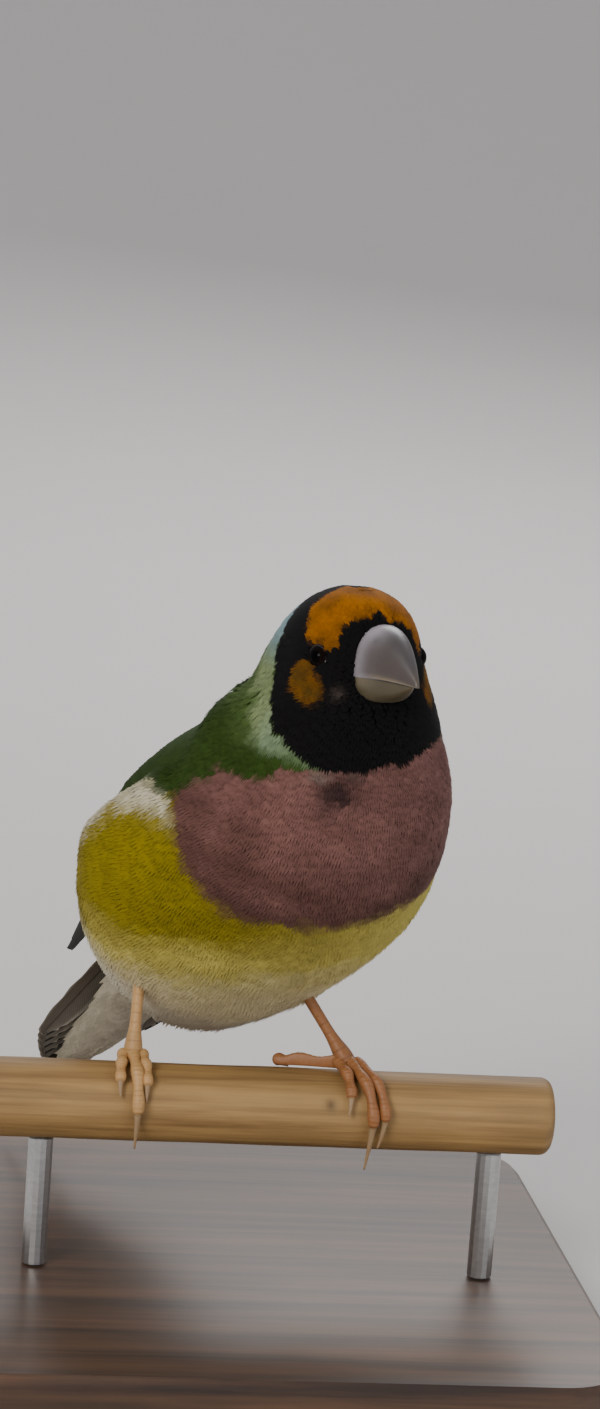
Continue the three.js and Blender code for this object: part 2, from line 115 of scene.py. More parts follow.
# Body surface
body = {
    # crown to vent: y, z, half width, depth to the front, depth to the back
    "stations": [
        (-18.6, 69.6, 7.6, 7.7, 10.2), (-18.4, 64.5, 7.6, 7.8, 11.6), (-17.8, 59.1, 9.3, 9.0, 14.0),
        (-17.3, 53.2, 11.8, 10.9, 15.3), (-15.2, 47.3, 15.0, 14.4, 15.7), (-10.6, 41.6, 17.6, 16.5, 15.2),
        (-3.7, 36.3, 19.1, 16.8, 14.7), (4.7, 30.5, 20.9, 17.2, 14.7), (12.6, 24.1, 18.6, 16.2, 13.8),
        (20.2, 18.0, 15.0, 13.7, 10.8), (27.1, 13.4, 9.2, 9.0, 7.2),
    ],
    "length": 77, "crownCap": 0.14, "ventCap": 0.1,
    "flankFrom": 0.48, "flankTo": 0.95, "flankAngle": 97, "flankSpread": 32, "flankRise": 2.2,
}
spine = curveTable([(0, s[0], s[1]) for s in body["stations"]], 601)
girth = curveTable([s[2:] for s in body["stations"]], 601)
spineRun = unit(np.gradient(spine, axis=0))
bodyTable = np.column_stack([spine[:, 1:], spineRun[:, 1:], girth])
steps = np.linspace(0, 1, len(bodyTable))


def capShare(t, share):
    return np.sqrt(np.maximum(0, 1 - (1 - np.minimum(1, t / share)) ** 2))


def onBody(t, angle, out=0.0):  # angle in degrees from the middle of the back towards the bird's left
    t, angle = np.asarray(t, float), np.asarray(angle, float)
    y, z, ty, tz, w, f, b = (np.interp(t, steps, bodyTable[:, k]) for k in range(7))
    cap = np.minimum(capShare(t, body["crownCap"]), capShare(1 - t, body["ventCap"]))
    turn, around = np.radians(angle), angle % 360
    aside = np.minimum(around, 360 - around)
    first, last = body["flankFrom"], body["flankTo"]
    along = smooth(t, first, first + 0.16) * (1 - smooth(t, last - 0.2, last))
    puff = body["flankRise"] * bump(aside, body["flankAngle"], body["flankSpread"]) * along
    deep = (np.where(np.cos(turn) > 0, b, f) + puff) * cap + out
    wide = (w + puff) * cap + out
    return np.stack([np.sin(turn) * wide, y - tz * np.cos(turn) * deep, z + ty * np.cos(turn) * deep], -1)


def bodyFrame(t, angle):  # point, outward normal, direction from crown to vent
    t = np.clip(t, 0.004, 0.996)
    p = onBody(t, angle)
    run = onBody(t + 0.003, angle) - onBody(t - 0.003, angle)
    around = onBody(t, angle + 0.8) - onBody(t, angle - 0.8)
    n = unit(np.cross(around, run))
    outward = p - np.stack([0 * t, np.interp(t, steps, spine[:, 1]), np.interp(t, steps, spine[:, 2])], -1)
    n = np.where((n * outward).sum(-1, keepdims=True) < 0, -n, n)
    return p, n, unit(run)


# Markings, the same for skin and coat
tones = {
    "black": paint(8, 6, 7), "orange": paint(154, 92, 0), "orangeDeep": paint(112, 66, 2),
    "cheek": paint(80, 56, 8), "sky": paint(122, 146, 152), "collar": paint(120, 138, 108),
    "mint": paint(124, 138, 96), "nape": paint(74, 94, 46), "green": paint(42, 62, 14),
    "backGreen": paint(38, 56, 12), "rump": paint(110, 142, 154), "mauve": paint(116, 80, 74),
    "mauveDeep": paint(86, 57, 51), "yellow": paint(124, 110, 0), "paleYellow": paint(186, 172, 84),
    "cream": paint(204, 192, 150), "white": paint(208, 200, 178), "darkPatch": paint(40, 28, 28),
    "spot": paint(70, 60, 54), "quill": paint(168, 160, 140),
}
# Edges of the markings. Degrees are off the middle of the breast, the bird's right positive, t is the
# share of the body's length from the crown, and z and y are in millimetres.
marks = {
    "maskRear": ([49.4, 50.1, 51.4, 53.4, 55.7, 58, 60.6, 62.1, 66.3, 70],  # z, y
                 [-27.5, -25.3, -23.3, -20.8, -18.5, -16.5, -14.4, -13.4, -13.0, -12.8]),
    "chin": 49.7,
    "flankTop": ([0.5, 0.53, 0.58, 0.635, 0.7, 0.85], [98, 103, 114, 124, 122, 114]),  # t, degrees
    "breastLow": ([-110, -60, -46, -24, 0, 6, 19, 31, 44, 58, 69, 82, 98, 110],  # degrees, t
                  [0.5, 0.515, 0.515, 0.505, 0.512, 0.517, 0.527, 0.539, 0.547, 0.541, 0.541, 0.525,
                   0.511, 0.5]),
    "breastRight": ([0.3, 0.325, 0.331, 0.34, 0.365, 0.379, 0.395, 0.465, 0.511, 0.56],  # t, degrees
                    [24, 40, 50, 60, 68, 82, 91, 98, 98, 84]),
    "breastLeft": ([0.26, 0.3, 0.34, 0.4, 0.465, 0.56], [62, 76, 86, 93, 98, 84]),
    "collarWidth": ([-120, -60, 0, 25, 50, 70, 100, 140], [2.4, 0.2, 0.0, 0.0, 1.0, 2.8, 4.0, 3.6]),
    "collarAmount": ([-120, -80, -50, 0, 24, 42, 65, 80], [1, 0.6, 0, 0, 0.04, 0.25, 0.7, 1]),
    "crownLow": ([0, 4, 11, 24, 35, 39, 42, 50, 60, 68, 77, 84],  # degrees off the bill, z
                 [67.3, 66.9, 66.4, 66.0, 65.2, 63.0, 62.2, 63.5, 63.1, 63.4, 65.2, 66.2]),
    "cheek": {"side": 52.5, "z": 58.5, "wide": 13, "high": 2.3, "lean": 3.2},
    "darkPatch": {"turn": 25, "t": 0.338, "wide": 11, "high": 0.028},
}


def maskDepth(p):  # millimetres inside the dark face mask
    x, y, z = p[..., 0], p[..., 1], p[..., 2]
    rear = np.interp(z, *marks["maskRear"])
    chin = z - marks["chin"] - 0.075 * np.maximum(0, x + 3) ** 1.5
    return np.minimum((rear - y) * 0.8, chin) + 0.3 * waves(p, 5, 1)


def backTint(p, side, t):  # nape to mantle to rump
    # the lighter nape and the darker green behind it are painted light and shade
    tint = mix(tones["nape"], tones["green"], smooth(t + 0.015 * waves(p, 6, 9), 0.26, 0.36))
    tint = mix(tint, tones["backGreen"], smooth(t, 0.44, 0.6))
    return mix(tint, tones["rump"], smooth(t + 0.02 * waves(p, 8, 2), 0.8, 0.86) * smooth(side, 92, 112))


def addFlank(tint, p, turn, t):  # yellow flank and belly, paler towards the middle and below
    z, side = p[..., 2], np.abs(turn)
    strong = smooth(turn, -20, 42) * 0.85 + 0.15 + 0.5 * smooth(-turn, 60, 90)
    flank = mix(tones["paleYellow"], tones["yellow"], strong)
    high = z + 1.2 * waves(p, 9, 3) + 0.03 * np.maximum(turn - 45, 0)
    flank = mix(flank, tones["paleYellow"], 1 - smooth(high, 20.5, 28))
    high = z + 1.0 * waves(p, 7, 4) - 2.5 * smooth(-turn, -20, 60)
    flank = mix(flank, tones["cream"], 1 - smooth(high, 15.5, 22))
    flank = mix(flank, tones["white"], smooth(t, 0.76, 0.88))
    past = side + 3 * waves(p, 6, 5) - np.interp(t, *marks["flankTop"])
    tint = mix(tint, flank, smooth(t, 0.47, 0.5) * (1 - smooth(past, -3, 3)))
    pale = bump(past, -6, 7) * smooth(t, 0.505, 0.53) * (1 - smooth(t, 0.84, 0.9))
    return mix(tint, tones["white"], 0.85 * pale)


def addBreast(tint, p, turn, t):
    low = np.interp(turn, *marks["breastLow"])
    wide = np.where(turn < 0, np.interp(t, *marks["breastLeft"]), np.interp(t, *marks["breastRight"]))
    rough = waves(p, 4, 6)
    inside = smooth(low - t + 0.006 * rough, -0.013, 0.013) * smooth(wide - np.abs(turn) + 2.5 * rough, -3, 3)
    deep = np.clip(smooth(t, 0.36, 0.54) + 0.3 * waves(p, 5, 10), 0, 1)
    breast = mix(tones["mauve"], tones["mauveDeep"], deep)
    # a darker patch on the upper breast, to the bird's right
    mark = marks["darkPatch"]
    middle = mark["t"] + 0.0008 * (turn - mark["turn"])
    darkness = bump(turn, mark["turn"], mark["wide"]) * bump(t, middle, mark["high"])
    breast = mix(breast, tones["darkPatch"], np.clip(1.1 * darkness * np.exp(0.5 * waves(p, 2.5, 14)), 0, 0.9))
    return mix(tint, breast, inside * smooth(t, 0.25, 0.28))


def addCollar(tint, p, turn, t, depth):  # pale collar behind the mask, a thin line under the chin
    z = p[..., 2]
    width = np.interp(turn, *marks["collarWidth"])
    collar = mix(tones["collar"], tones["mint"], smooth(turn, 70, 95))
    collar = mix(collar, tones["sky"], smooth(z, 59, 64))
    collar = mix(collar, tones["sky"], 0.4 * (1 - smooth(z, 48.5, 51)))
    near = smooth(depth + 0.6 * waves(p, 3, 12), -width - 1.4, -width * 0.6)
    near = np.where(depth < 0, near, 0) * (1 - smooth(t, 0.37, 0.43))
    return mix(tint, collar, np.interp(turn, *marks["collarAmount"]) * near)


def maskTint(p, turn, depth):  # black, with its orange still growing in
    z, face = p[..., 2], np.abs(turn - 3)
    rag = waves(p, 3.2, 7)
    low = np.interp(face, *marks["crownLow"])
    crown = smooth(z - low + 0.3 * rag, -0.15, 0.25) * smooth(depth, 1.0, 1.8)
    crown = crown * (1 - smooth(face + 3 * rag - 1.2 * (z - 66), 74, 82))
    mark = marks["cheek"]
    up = z - mark["z"] + 0.1
    aside = (face - mark["side"] - mark["lean"] * up) / (mark["wide"] + 1.2 * up)
    cheek = 1 - smooth(aside**2 + ((z - mark["z"]) / mark["high"]) ** 2 + 0.3 * rag, 0.5, 1.25)
    dull = np.clip(0.3 + 0.45 * waves(p, 2.4, 8) + 0.5 * smooth(z, 66, 63), 0, 1)
    orange = mix(tones["orange"], tones["orangeDeep"], dull)
    orange = mix(orange, tones["cheek"], np.clip(0.75 + 0.3 * waves(p, 2, 13), 0, 1) * (z < 61.3))
    black = np.broadcast_to(tones["black"], p.shape)
    mask = mix(black, orange, np.maximum(crown, 0.92 * cheek * (face > 30)))
    return mix(mask, tones["spot"], 0.6 * bump(turn, 32, 4.5) * bump(z, 57.9, 0.7))


def markings(p, angle, t):
    turn = angle % 360 - 180
    depth = maskDepth(p)
    tint = backTint(p, np.abs(turn), t)
    tint = addFlank(tint, p, turn, t)
    tint = addBreast(tint, p, turn, t)
    tint = addCollar(tint, p, turn, t, depth)
    return mix(tint, maskTint(p, turn, depth), smooth(depth, -0.2, 0.2))


# Meshes
def newMesh(name, points, faces, look, space=birdToRow, tint=1.0, normals=None, uv=None, uvName="OFBake"):
    points = np.asarray(points, float).reshape(-1, 3)
    faces = np.asarray(faces)
    mesh = bpy.data.meshes.new(name)
    mesh.vertices.add(len(points))
    mesh.vertices.foreach_set("co", space(points).astype(np.float32).ravel())
    mesh.loops.add(faces.size)
    mesh.loops.foreach_set("vertex_index", faces.astype(np.int32).ravel())
    mesh.polygons.add(len(faces))
    mesh.polygons.foreach_set("loop_start", np.arange(0, faces.size, faces.shape[1], dtype=np.int32))
    mesh.update(calc_edges=True)
    mesh.validate()
    layer = mesh.color_attributes.new("plumage", "FLOAT_COLOR", "POINT")
    colours = np.ones((len(points), 4), np.float32)
    colours[:, :3] = tint
    layer.data.foreach_set("color", colours.ravel())
    if uv is not None:
        layer = mesh.uv_layers.new(name=uvName)
        layer.data.foreach_set("uv", np.asarray(uv, np.float32).reshape(-1, 2)[faces.ravel()].ravel())
    mesh.polygons.foreach_set("use_smooth", np.ones(len(mesh.polygons), bool))
    if normals is not None:
        mesh.normals_split_custom_set_from_vertices(normals.astype(np.float32))
    mesh.materials.append(looks[look])
    made = bpy.data.objects.new(name, mesh)
    bpy.context.scene.collection.objects.link(made)
    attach(made, "root")
    return made


def gridFaces(rows, columns, closed=True):
    across = np.arange(columns if closed else columns - 1)
    r, c = np.meshgrid(np.arange(rows - 1), across, indexing="ij")
    n = (c + 1) % columns
    r, below = r * columns, (r + 1) * columns
    return np.stack([r + c, r + n, below + n, below + c], -1).reshape(-1, 4)


def tubeParts(rings, tint, caps=True):  # points, triangles and colours of a tube over rings of points
    rows, columns = rings.shape[:2]
    points = rings.reshape(-1, 3)
    colours = np.broadcast_to(tint, rings.shape).reshape(-1, 3)
    quads = gridFaces(rows, columns)
    faces = [quads[:, [0, 1, 2]], quads[:, [0, 2, 3]]]
    if caps:
        c = np.arange(columns)
        n = (c + 1) % columns
        last = (rows - 1) * columns
        faces += [np.stack([n, c, c * 0 + len(points)], -1)]
        faces += [np.stack([last + c, last + n, c * 0 + len(points) + 1], -1)]
        points = np.vstack([points, rings[0].mean(0), rings[-1].mean(0)])
        colours = np.vstack([colours, colours[0], colours[last]])
    return points, np.vstack(faces), colours


def tubeMesh(name, rings, look, tint, space=birdToRow, caps=True, replaced=()):
    points, faces, colours = tubeParts(rings, tint, caps)
    made = newMesh(name, points, faces, look, space, colours)
    if replaced:
        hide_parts(*replaced)


# Shader groups. Each takes a colour and gives a changed colour and a height.
def node(tree, kind, values=(), **settings):
    made = tree.nodes.new("ShaderNode" + kind)
    for key, value in settings.items():
        setattr(made, key, value)
    for key, value in dict(values).items():
        made.inputs[key].default_value = value
    return made


def socketOf(sockets, label):
    return sockets[int(label)] if label.isdigit() else sockets[label]


def effectGroup(name, inputs, nodes, wires):  # a wire is written "node.output node.input"
    tree = bpy.data.node_groups.new(name, "ShaderNodeTree")
    for label, value in inputs.items():
        kind = "NodeSocketColor" if value is None else "NodeSocketFloat"
        socket = tree.interface.new_socket(name=label, in_out="INPUT", socket_type=kind)
        if value is not None:
            socket.default_value = value
    for label, kind in (("Colour", "NodeSocketColor"), ("Height", "NodeSocketFloat")):
        tree.interface.new_socket(name=label, in_out="OUTPUT", socket_type=kind)
    made = {"start": tree.nodes.new("NodeGroupInput"), "end": tree.nodes.new("NodeGroupOutput")}
    for label, (kind, values, settings) in nodes.items():
        made[label] = node(tree, kind, values, **settings)
    for wire in wires:
        source, target = (end.split(".") for end in wire.split())
        output = socketOf(made[source[0]].outputs, source[1])
        tree.links.new(output, socketOf(made[target[0]].inputs, target[1]))
    return tree


def maths(operation, **values):
    return ("Math", {int(key[1:]): value for key, value in values.items()}, {"operation": operation})


scaleVector = ("VectorMath", {}, {"operation": "SCALE"})
groups = {
    "mottle": effectGroup(  # two scales of unevenness in brightness, and the finer one as height
        "mottle",
        {"Colour": None, "Coarse": 300.0, "Fine": 1800.0, "Amount": 0.3},
        {
            "spot": ("TexCoord", {}, {}),
            "wide": ("TexNoise", {"Detail": 3.0}, {}),
            "thin": ("TexNoise", {"Detail": 4.0, "Roughness": 0.65}, {}),
            "both": maths("ADD"),
            "centred": maths("SUBTRACT", _1=1.0),
            "scaled": maths("MULTIPLY_ADD", _2=1.0),
            "lit": scaleVector,
        },
        ["spot.Object wide.Vector", "start.Coarse wide.Scale", "spot.Object thin.Vector",
         "start.Fine thin.Scale", "wide.Fac both.0", "thin.Fac both.1", "both.0 centred.0",
         "centred.0 scaled.0", "start.Amount scaled.1", "start.Colour lit.0", "scaled.0 lit.Scale",
         "lit.0 end.Colour", "thin.Fac end.Height"],
    ),
    "barbs": effectGroup(  # fine slanted lines on both sides of a feather's shaft
        "barbs",
        {"Colour": None, "Lines": 60.0, "Amount": 0.3},
        {
            "spot": ("UVMap", {}, {"uv_map": "vane"}),
            "parts": ("SeparateXYZ", {}, {}),
            "shift": maths("SUBTRACT", _1=0.5),
            "off": maths("ABSOLUTE"),
            "slant": maths("MULTIPLY", _1=-0.32),
            "total": maths("ADD"),
            "turns": maths("MULTIPLY"),
            "wave": maths("SINE"),
            "scaled": maths("MULTIPLY_ADD", _2=1.0),
            "shaft": ("MapRange", {"From Min": 0.012, "From Max": 0.05, "To Min": 0.55, "To Max": 1.0}, {}),
            "both": maths("MULTIPLY"),
            "lit": scaleVector,
        },
        ["spot.0 parts.0", "parts.0 shift.0", "shift.0 off.0", "off.0 slant.0", "parts.1 total.0",
         "slant.0 total.1", "total.0 turns.0", "start.Lines turns.1", "turns.0 wave.0", "wave.0 scaled.0",
         "start.Amount scaled.1", "off.0 shaft.Value", "scaled.0 both.0", "shaft.0 both.1",
         "start.Colour lit.0", "both.0 lit.Scale", "lit.0 end.Colour", "wave.0 end.Height"],
    ),
    "grain": effectGroup(  # wood grain that runs along the object's X
        "grain",
        {"Colour": None, "Light": None, "Dark": None, "Scale": 1.0},
        {
            "spot": ("TexCoord", {}, {}),
            "stretch": ("Mapping", {"Scale": (18.0, 420.0, 420.0)}, {}),
            "lines": ("TexNoise", {"Detail": 6.0, "Roughness": 0.62, "Distortion": 0.35}, {}),
            "fibre": ("Mapping", {"Scale": (90.0, 2600.0, 2600.0)}, {}),
            "fine": ("TexNoise", {"Detail": 3.0}, {}),
            "patch": ("TexNoise", {"Scale": 70.0, "Detail": 2.0}, {}),
            "ramp": ("MapRange", {"From Min": 0.36, "From Max": 0.66}, {}),
            "blend": ("Mix", {}, {"data_type": "RGBA"}),
            "soil": maths("MULTIPLY_ADD", _1=0.5, _2=0.72),
            "streak": maths("MULTIPLY_ADD", _1=0.35, _2=0.82),
            "both": maths("MULTIPLY"),
            "lit": scaleVector,
            "tinted": ("Mix", {"Factor": 1.0}, {"data_type": "RGBA", "blend_type": "MULTIPLY"}),
        },
        ["spot.Object stretch.0", "spot.Object fibre.0", "spot.Object patch.Vector",
         "stretch.0 lines.Vector", "fibre.0 fine.Vector", "start.Scale lines.Scale",
         "start.Scale fine.Scale", "lines.Fac ramp.Value", "ramp.0 blend.Factor", "start.Light blend.6",
         "start.Dark blend.7", "patch.Fac soil.0", "fine.Fac streak.0", "soil.0 both.0",
         "streak.0 both.1", "blend.2 lit.0", "both.0 lit.Scale", "lit.0 tinted.6",
         "start.Colour tinted.7", "tinted.2 end.Colour", "fine.Fac end.Height"],
    ),
}


def mottled(coarse, fine, amount):
    return ("mottle", {"Coarse": coarse, "Fine": fine, "Amount": amount})


def grained(light, dark, scale):
    return ("grain", {"Light": (*paint(*light), 1), "Dark": (*paint(*dark), 1), "Scale": scale})


def finish(name, roughness, height, depth, effects, sockets=(), tint=None):  # height and depth of its bump
    material = bpy.data.materials.new(name)
    material.use_nodes = True
    tree = material.node_tree
    shader = tree.nodes["Principled BSDF"]
    for key, value in {"Roughness": roughness, **dict(sockets)}.items():
        shader.inputs[key].default_value = value
    colour = None if tint else node(tree, "Attribute", attribute_name="plumage").outputs["Color"]
    for kind, values in effects:
        effect = node(tree, "Group", node_tree=groups[kind])
        for key, value in values.items():
            effect.inputs[key].default_value = value
        if colour is None:
            effect.inputs["Colour"].default_value = (*tint, 1)
        else:
            tree.links.new(colour, effect.inputs["Colour"])
        colour = effect.outputs["Colour"]
    tree.links.new(colour, shader.inputs["Base Color"])
    raised = node(tree, "Bump", {"Strength": height, "Distance": depth})
    tree.links.new(effect.outputs["Height"], raised.inputs["Height"])
    tree.links.new(raised.outputs[0], shader.inputs["Normal"])
    return material


looks = {
    "coat": finish("coatFeathers", 0.85, 0.2, 0.0001, [mottled(260, 2600, 0.4)],
                   {"Sheen Weight": 0.02, "Sheen Roughness": 0.6, "Specular IOR Level": 0.12}),
    "skin": finish("skinUnderFeathers", 0.9, 0.3, 0.0002, [mottled(400, 2200, 0.5)],
                   {"Specular IOR Level": 0.2}),
    "vane": finish("flightFeathers", 0.7, 0.35, 0.00006,
                   [("barbs", {"Lines": 420, "Amount": 0.16}), mottled(350, 1500, 0.3)],
                   {"Specular IOR Level": 0.15}),
    "bill": finish("billHorn", 0.42, 0.2, 0.00012, [mottled(300, 1500, 0.22)],
                   {"Coat Weight": 0.12, "Coat Roughness": 0.3}),
    "lid": finish("eyeRing", 0.6, 0.3, 0.0001, [mottled(900, 4000, 0.5)]),
    "eye": finish("eyeball", 0.08, 0.0, 0.0001, [mottled(900, 3000, 0.3)],
                  {"Coat Weight": 0.02, "Coat Roughness": 0.02, "Specular IOR Level": 0.03}),
    "leg": finish("legSkin", 0.5, 0.3, 0.0001, [mottled(400, 3000, 0.35)],
                  {"Subsurface Weight": 0.08, "Subsurface Scale": 0.001}),
    "perch": finish("perchWood", 0.62, 0.3, 0.0002, [grained((170, 134, 82), (118, 88, 50), 1.0)]),
    "base": finish("baseWood", 0.45, 0.2, 0.0001, [grained((96, 66, 44), (46, 30, 20), 0.7)],
                   {"Coat Weight": 0.25, "Coat Roughness": 0.3}, tint=(1, 1, 1)),
    "rod": finish("rodSteel", 0.32, 0.04, 0.00002, [grained((196, 196, 196), (180, 180, 180), 4.0)],
                  {"Metallic": 1.0}, tint=(1, 1, 1)),
    "floor": finish("paleFloor", 0.9, 0.1, 0.0005, [mottled(8, 90, 0.04)], tint=tuple(paint(214, 211, 208))),
}
print("materials ready")


# Skin
skin = {
    "rows": 150, "columns": 150, "shade": 0.82,
    # t, depth below the feathers' tips
    "under": ([0, 0.25, 0.4, 0.6, 0.9, 1.0], [0.45, 0.6, 1.2, 1.5, 1.2, 0.8]),
}


def coatDepth(t, side):
    return np.interp(t, *skin["under"]) * (1 - 0.35 * smooth(side, 110, 150) * smooth(t, 0.4, 0.5))


def bodyUv(t, angle):  # the unwrap that skin and coat share
    return np.stack([0.02 + 0.96 * angle / 360, 0.02 + 0.96 * t], -1)


def makeSkin():
    rows, columns = skin["rows"], skin["columns"]
    closer = (1 - np.cos(np.linspace(0.02, np.pi - 0.02, rows))) / 2  # rows crowd towards both ends
    level = 0.5 * closer + 0.5 * np.linspace(0.001, 0.999, rows)
    t, angle = np.meshgrid(level, np.arange(columns + 1) * 360 / columns, indexing="ij")
    p = onBody(t, angle, -coatDepth(t, np.abs(angle - 180)))
    tint = markings(onBody(t, angle), angle, t) * skin["shade"]
    faces = gridFaces(rows, columns + 1, closed=False)
    made = newMesh("body_skin", p, faces, "skin", tint=tint.reshape(-1, 3), uv=bodyUv(t, angle))
    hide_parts("head", "neck", "torso")


makeSkin()
print("skin done")


# Feathers of the coat
feather = {"cup": 0.1, "patch": (0.0015, 0.003), "limit": 190000}  # limit: triangles in one mesh


def featherShape(points, fringe, seed):  # a rounded vane with a fringed end: across -1..1, along 0..1
    draw = np.random.default_rng(seed)
    at = [(u * w, v) for v, w in ((0.0, 0.22), (0.3, 0.74), (0.55, 0.98)) for u in (-1, 0, 1)]
    faces = []
    for r in (0, 3):
        for c in (0, 1):
            faces += [(r + c, r + c + 1, r + c + 4), (r + c, r + c + 4, r + c + 3)]
    first = len(at)
    turn = np.radians(np.linspace(-84, 84, points + 1))
    at += [(math.sin(a), 0.55 + 0.3 * math.cos(a)) for a in turn]
    for k in range(points):
        middle = (turn[k] + turn[k + 1]) / 2
        aside = math.sin(middle + draw.uniform(-0.08, 0.08)) * (1 + fringe * draw.uniform(0, 0.5))
        at.append((aside, 0.61 + (0.38 + fringe * draw.uniform(0.05, 0.45)) * math.cos(middle)))
        faces += [(7, first + k + 1, first + k), (first + k, first + k + 1, first + points + 1 + k)]
    faces += [(6, 7, first), (7, 8, first + points)]
    return np.array(at), np.array(faces)[:, ::-1]


shapes = {
    "face": [featherShape(4, 0.5, 10 + k) for k in range(5)],
    "body": [featherShape(7, 0.45, 30 + k) for k in range(6)],
    "down": [featherShape(8, 1.0, 50 + k) for k in range(6)],
}


def bendFeathers(shape, centre, normal, across, half, rootTint, tipTint, uv):  # one shape, many feathers
    u, v = shape[:, 0][None, :, None], shape[:, 1][None, :, None]
    root, middle, tip = (centre[:, k : k + 1] for k in range(3))
    at = root * 2 * (v - 0.5) * (v - 1) + middle * 4 * v * (1 - v) + tip * 2 * v * (v - 0.5)
    up = unit(normal[:, 0:1] * (1 - v) + normal[:, 2:3] * v)
    s, half = across[:, None, :], half[:, None, None]
    p = at + s * u * half - up * feather["cup"] * half * u**2
    soft = unit(up + 0.12 * u * s + 0.06 * (v - 0.4) * unit(tip - root))
    # darker roots and lighter tips: partly the grey down at a feather's base, partly painted shade under the
    # overlapping feathers
    tint = rootTint[:, None, :] * (1 - v) + tipTint[:, None, :] * v
    wide, long = feather["patch"]
    return p, soft, tint, uv[:, None, :] + np.concatenate([u * wide, (v - 0.5) * long], -1)


def plantFeathers(name, kind, layers):
    # layers: centre, normal (three stations per feather: root, middle, tip), the sideways direction,
    # half width, colours of the root and the tip, and the feather's place in the unwrap
    pick = rng.integers(0, len(shapes[kind]), len(layers[0]))
    store = []
    for k, (shape, faces) in enumerate(shapes[kind]):
        bent = bendFeathers(shape, *(layer[pick == k] for layer in layers))
        store.append((*bent, faces))
    total = sum(len(p) * len(faces) for p, *_, faces in store)
    parts = max(1, math.ceil(total / feather["limit"]))
    for part in range(parts):
        chosen = [[sheet[part::parts] for sheet in sheets] for *sheets, _ in store]
        flat = [[sheet.reshape(-1, sheet.shape[-1]) for sheet in sheets] for sheets in chosen]
        points, normals, tints, uvs = (np.vstack(sheets) for sheets in zip(*flat))
        tris, base = [], 0
        for (p, *_), (*_, faces) in zip(chosen, store):
            count, corners = p.shape[:2]
            tris.append((faces[None] + base + np.arange(count)[:, None, None] * corners).reshape(-1, 3))
            base += count * corners
        made = newMesh(f"{name}_{part + 1}", points, np.vstack(tris), "coat", tint=tints,
                       normals=turnVectors(normals), uv=np.clip(uvs, 0.001, 0.999))
    print(name, total, "triangles in", parts)


eyes = {
    "x": 6.2, "y": -21.6, "z": 61.6, "radius": 1.5, "lidRadius": 1.24, "lid": 0.16,
    "faces": (1.0, -0.42, 0.1),  # the way that the left one looks
}
bill = {
    "y": -25.6, "z": 60, "pitch": -6, "width": 3.65, "culmen": 5.9, "jaw": 3.1, "length": 8.8,
    "jawLength": 7.6, "root": 3, "hook": 0.012, "nostril": (2.3, -1.5, 4.75),
    # colours at the root, the middle and the tip; the lighter root and the darker middle are painted light
    # and shade
    "upperTones": ((138, 132, 138), (72, 66, 66), (84, 74, 62)),
    "lowerTones": ((100, 90, 72), (76, 67, 48), (96, 84, 64)),
}
coat = {
    "head": 7.0, "throat": 4.6, "breast": 2.3, "back": 2.2, "belly": 2.0,  # feathers to a square millimetre
    "length": ([0, 0.2, 0.3, 0.42, 0.6, 0.85, 1.0], [1.5, 1.6, 2.3, 3.4, 4.6, 5.4, 5.2]),  # t, millimetres
    "narrow": ([0, 0.3, 0.6], [0.32, 0.28, 0.24]),  # t, half width as a share of the length
}


def eyeCentre(side):
    return np.array([side * eyes["x"], eyes["y"], eyes["z"]])


def coatRise(t, angle):  # extra depth of the loose feathers on neck and mantle, and over the wing's edge
    side = np.abs((angle % 360) - 180)
    neck = 1.52 * bump(t, 0.36, 0.14) * smooth(side, 92, 128)
    return neck + 1.5 * bump(side, 112, 12) * smooth(t, 0.5, 0.57) * (1 - smooth(t, 0.7, 0.8))


def makeTarget():  # the coat's outer surface, which feathers follow
    t, angle = np.meshgrid(np.linspace(0.003, 0.997, 220), np.arange(180) * 2.0, indexing="ij")
    points = onBody(t, angle, coatRise(t, angle)).reshape(-1, 3)
    return BVHTree.FromPolygons([Vector(p) for p in points], gridFaces(220, 180).tolist())


target = makeTarget()


def layAlong(p, direction, length, lift, sink):  # centre line over the surface, as three stations each
    centre, normal = np.empty((len(p), 3, 3)), np.empty((len(p), 3, 3))
    core = np.interp(p[:, 2], [10, 36, 70], [14, -4, -18.6])  # y of the body's middle at that height
    for i in range(len(p)):
        at, n, *_ = target.find_nearest(Vector(p[i]))
        outward = Vector(p[i]) - Vector((0, core[i], p[i][2]))
        n = n if n.dot(outward) > 0 else -n
        way = Vector(direction[i])
        for k in range(3):
            if k:
                way = (way - n * way.dot(n)).normalized()
                at, turned, *_ = target.find_nearest(at + way * (length[i] / 2))
                n = turned if turned.dot(n) > 0 else -turned
            centre[i, k], normal[i, k] = at, n
    height = np.stack([-sink, -sink * 0.35 + lift * 0.5, lift], -1)
    return centre + normal * height[..., None], normal


def scatter(density, rows=420, columns=360):  # roots spread evenly at density(t, angle, point)
    level, around = (np.arange(rows) + 0.5) / rows, (np.arange(columns) + 0.5) * 360 / columns
    t, angle = np.meshgrid(level, around, indexing="ij")
    run = onBody(t + 0.5 / rows, angle) - onBody(t - 0.5 / rows, angle)
    sideways = onBody(t, angle + 180 / columns) - onBody(t, angle - 180 / columns)
    area = np.linalg.norm(np.cross(run, sideways), axis=-1)
    wanted = density(t, angle, onBody(t, angle)) * area
    wanted[1::2] = wanted[1::2, ::-1]  # back and forth, so that the leftover carries to a neighbour
    tally = np.floor(np.cumsum(wanted.ravel()) + 0.5)
    count = np.diff(tally, prepend=0).astype(int).reshape(wanted.shape)
    count[1::2] = count[1::2, ::-1]
    r, c = np.where(count > 0)
    r, c = np.repeat(r, count[r, c]), np.repeat(c, count[r, c])
    return (r + rng.uniform(0, 1, len(r))) / rows, ((c + rng.uniform(0, 1, len(c))) * 360 / columns) % 360


def headShare(t):
    return 1 - smooth(t, 0.2, 0.36)


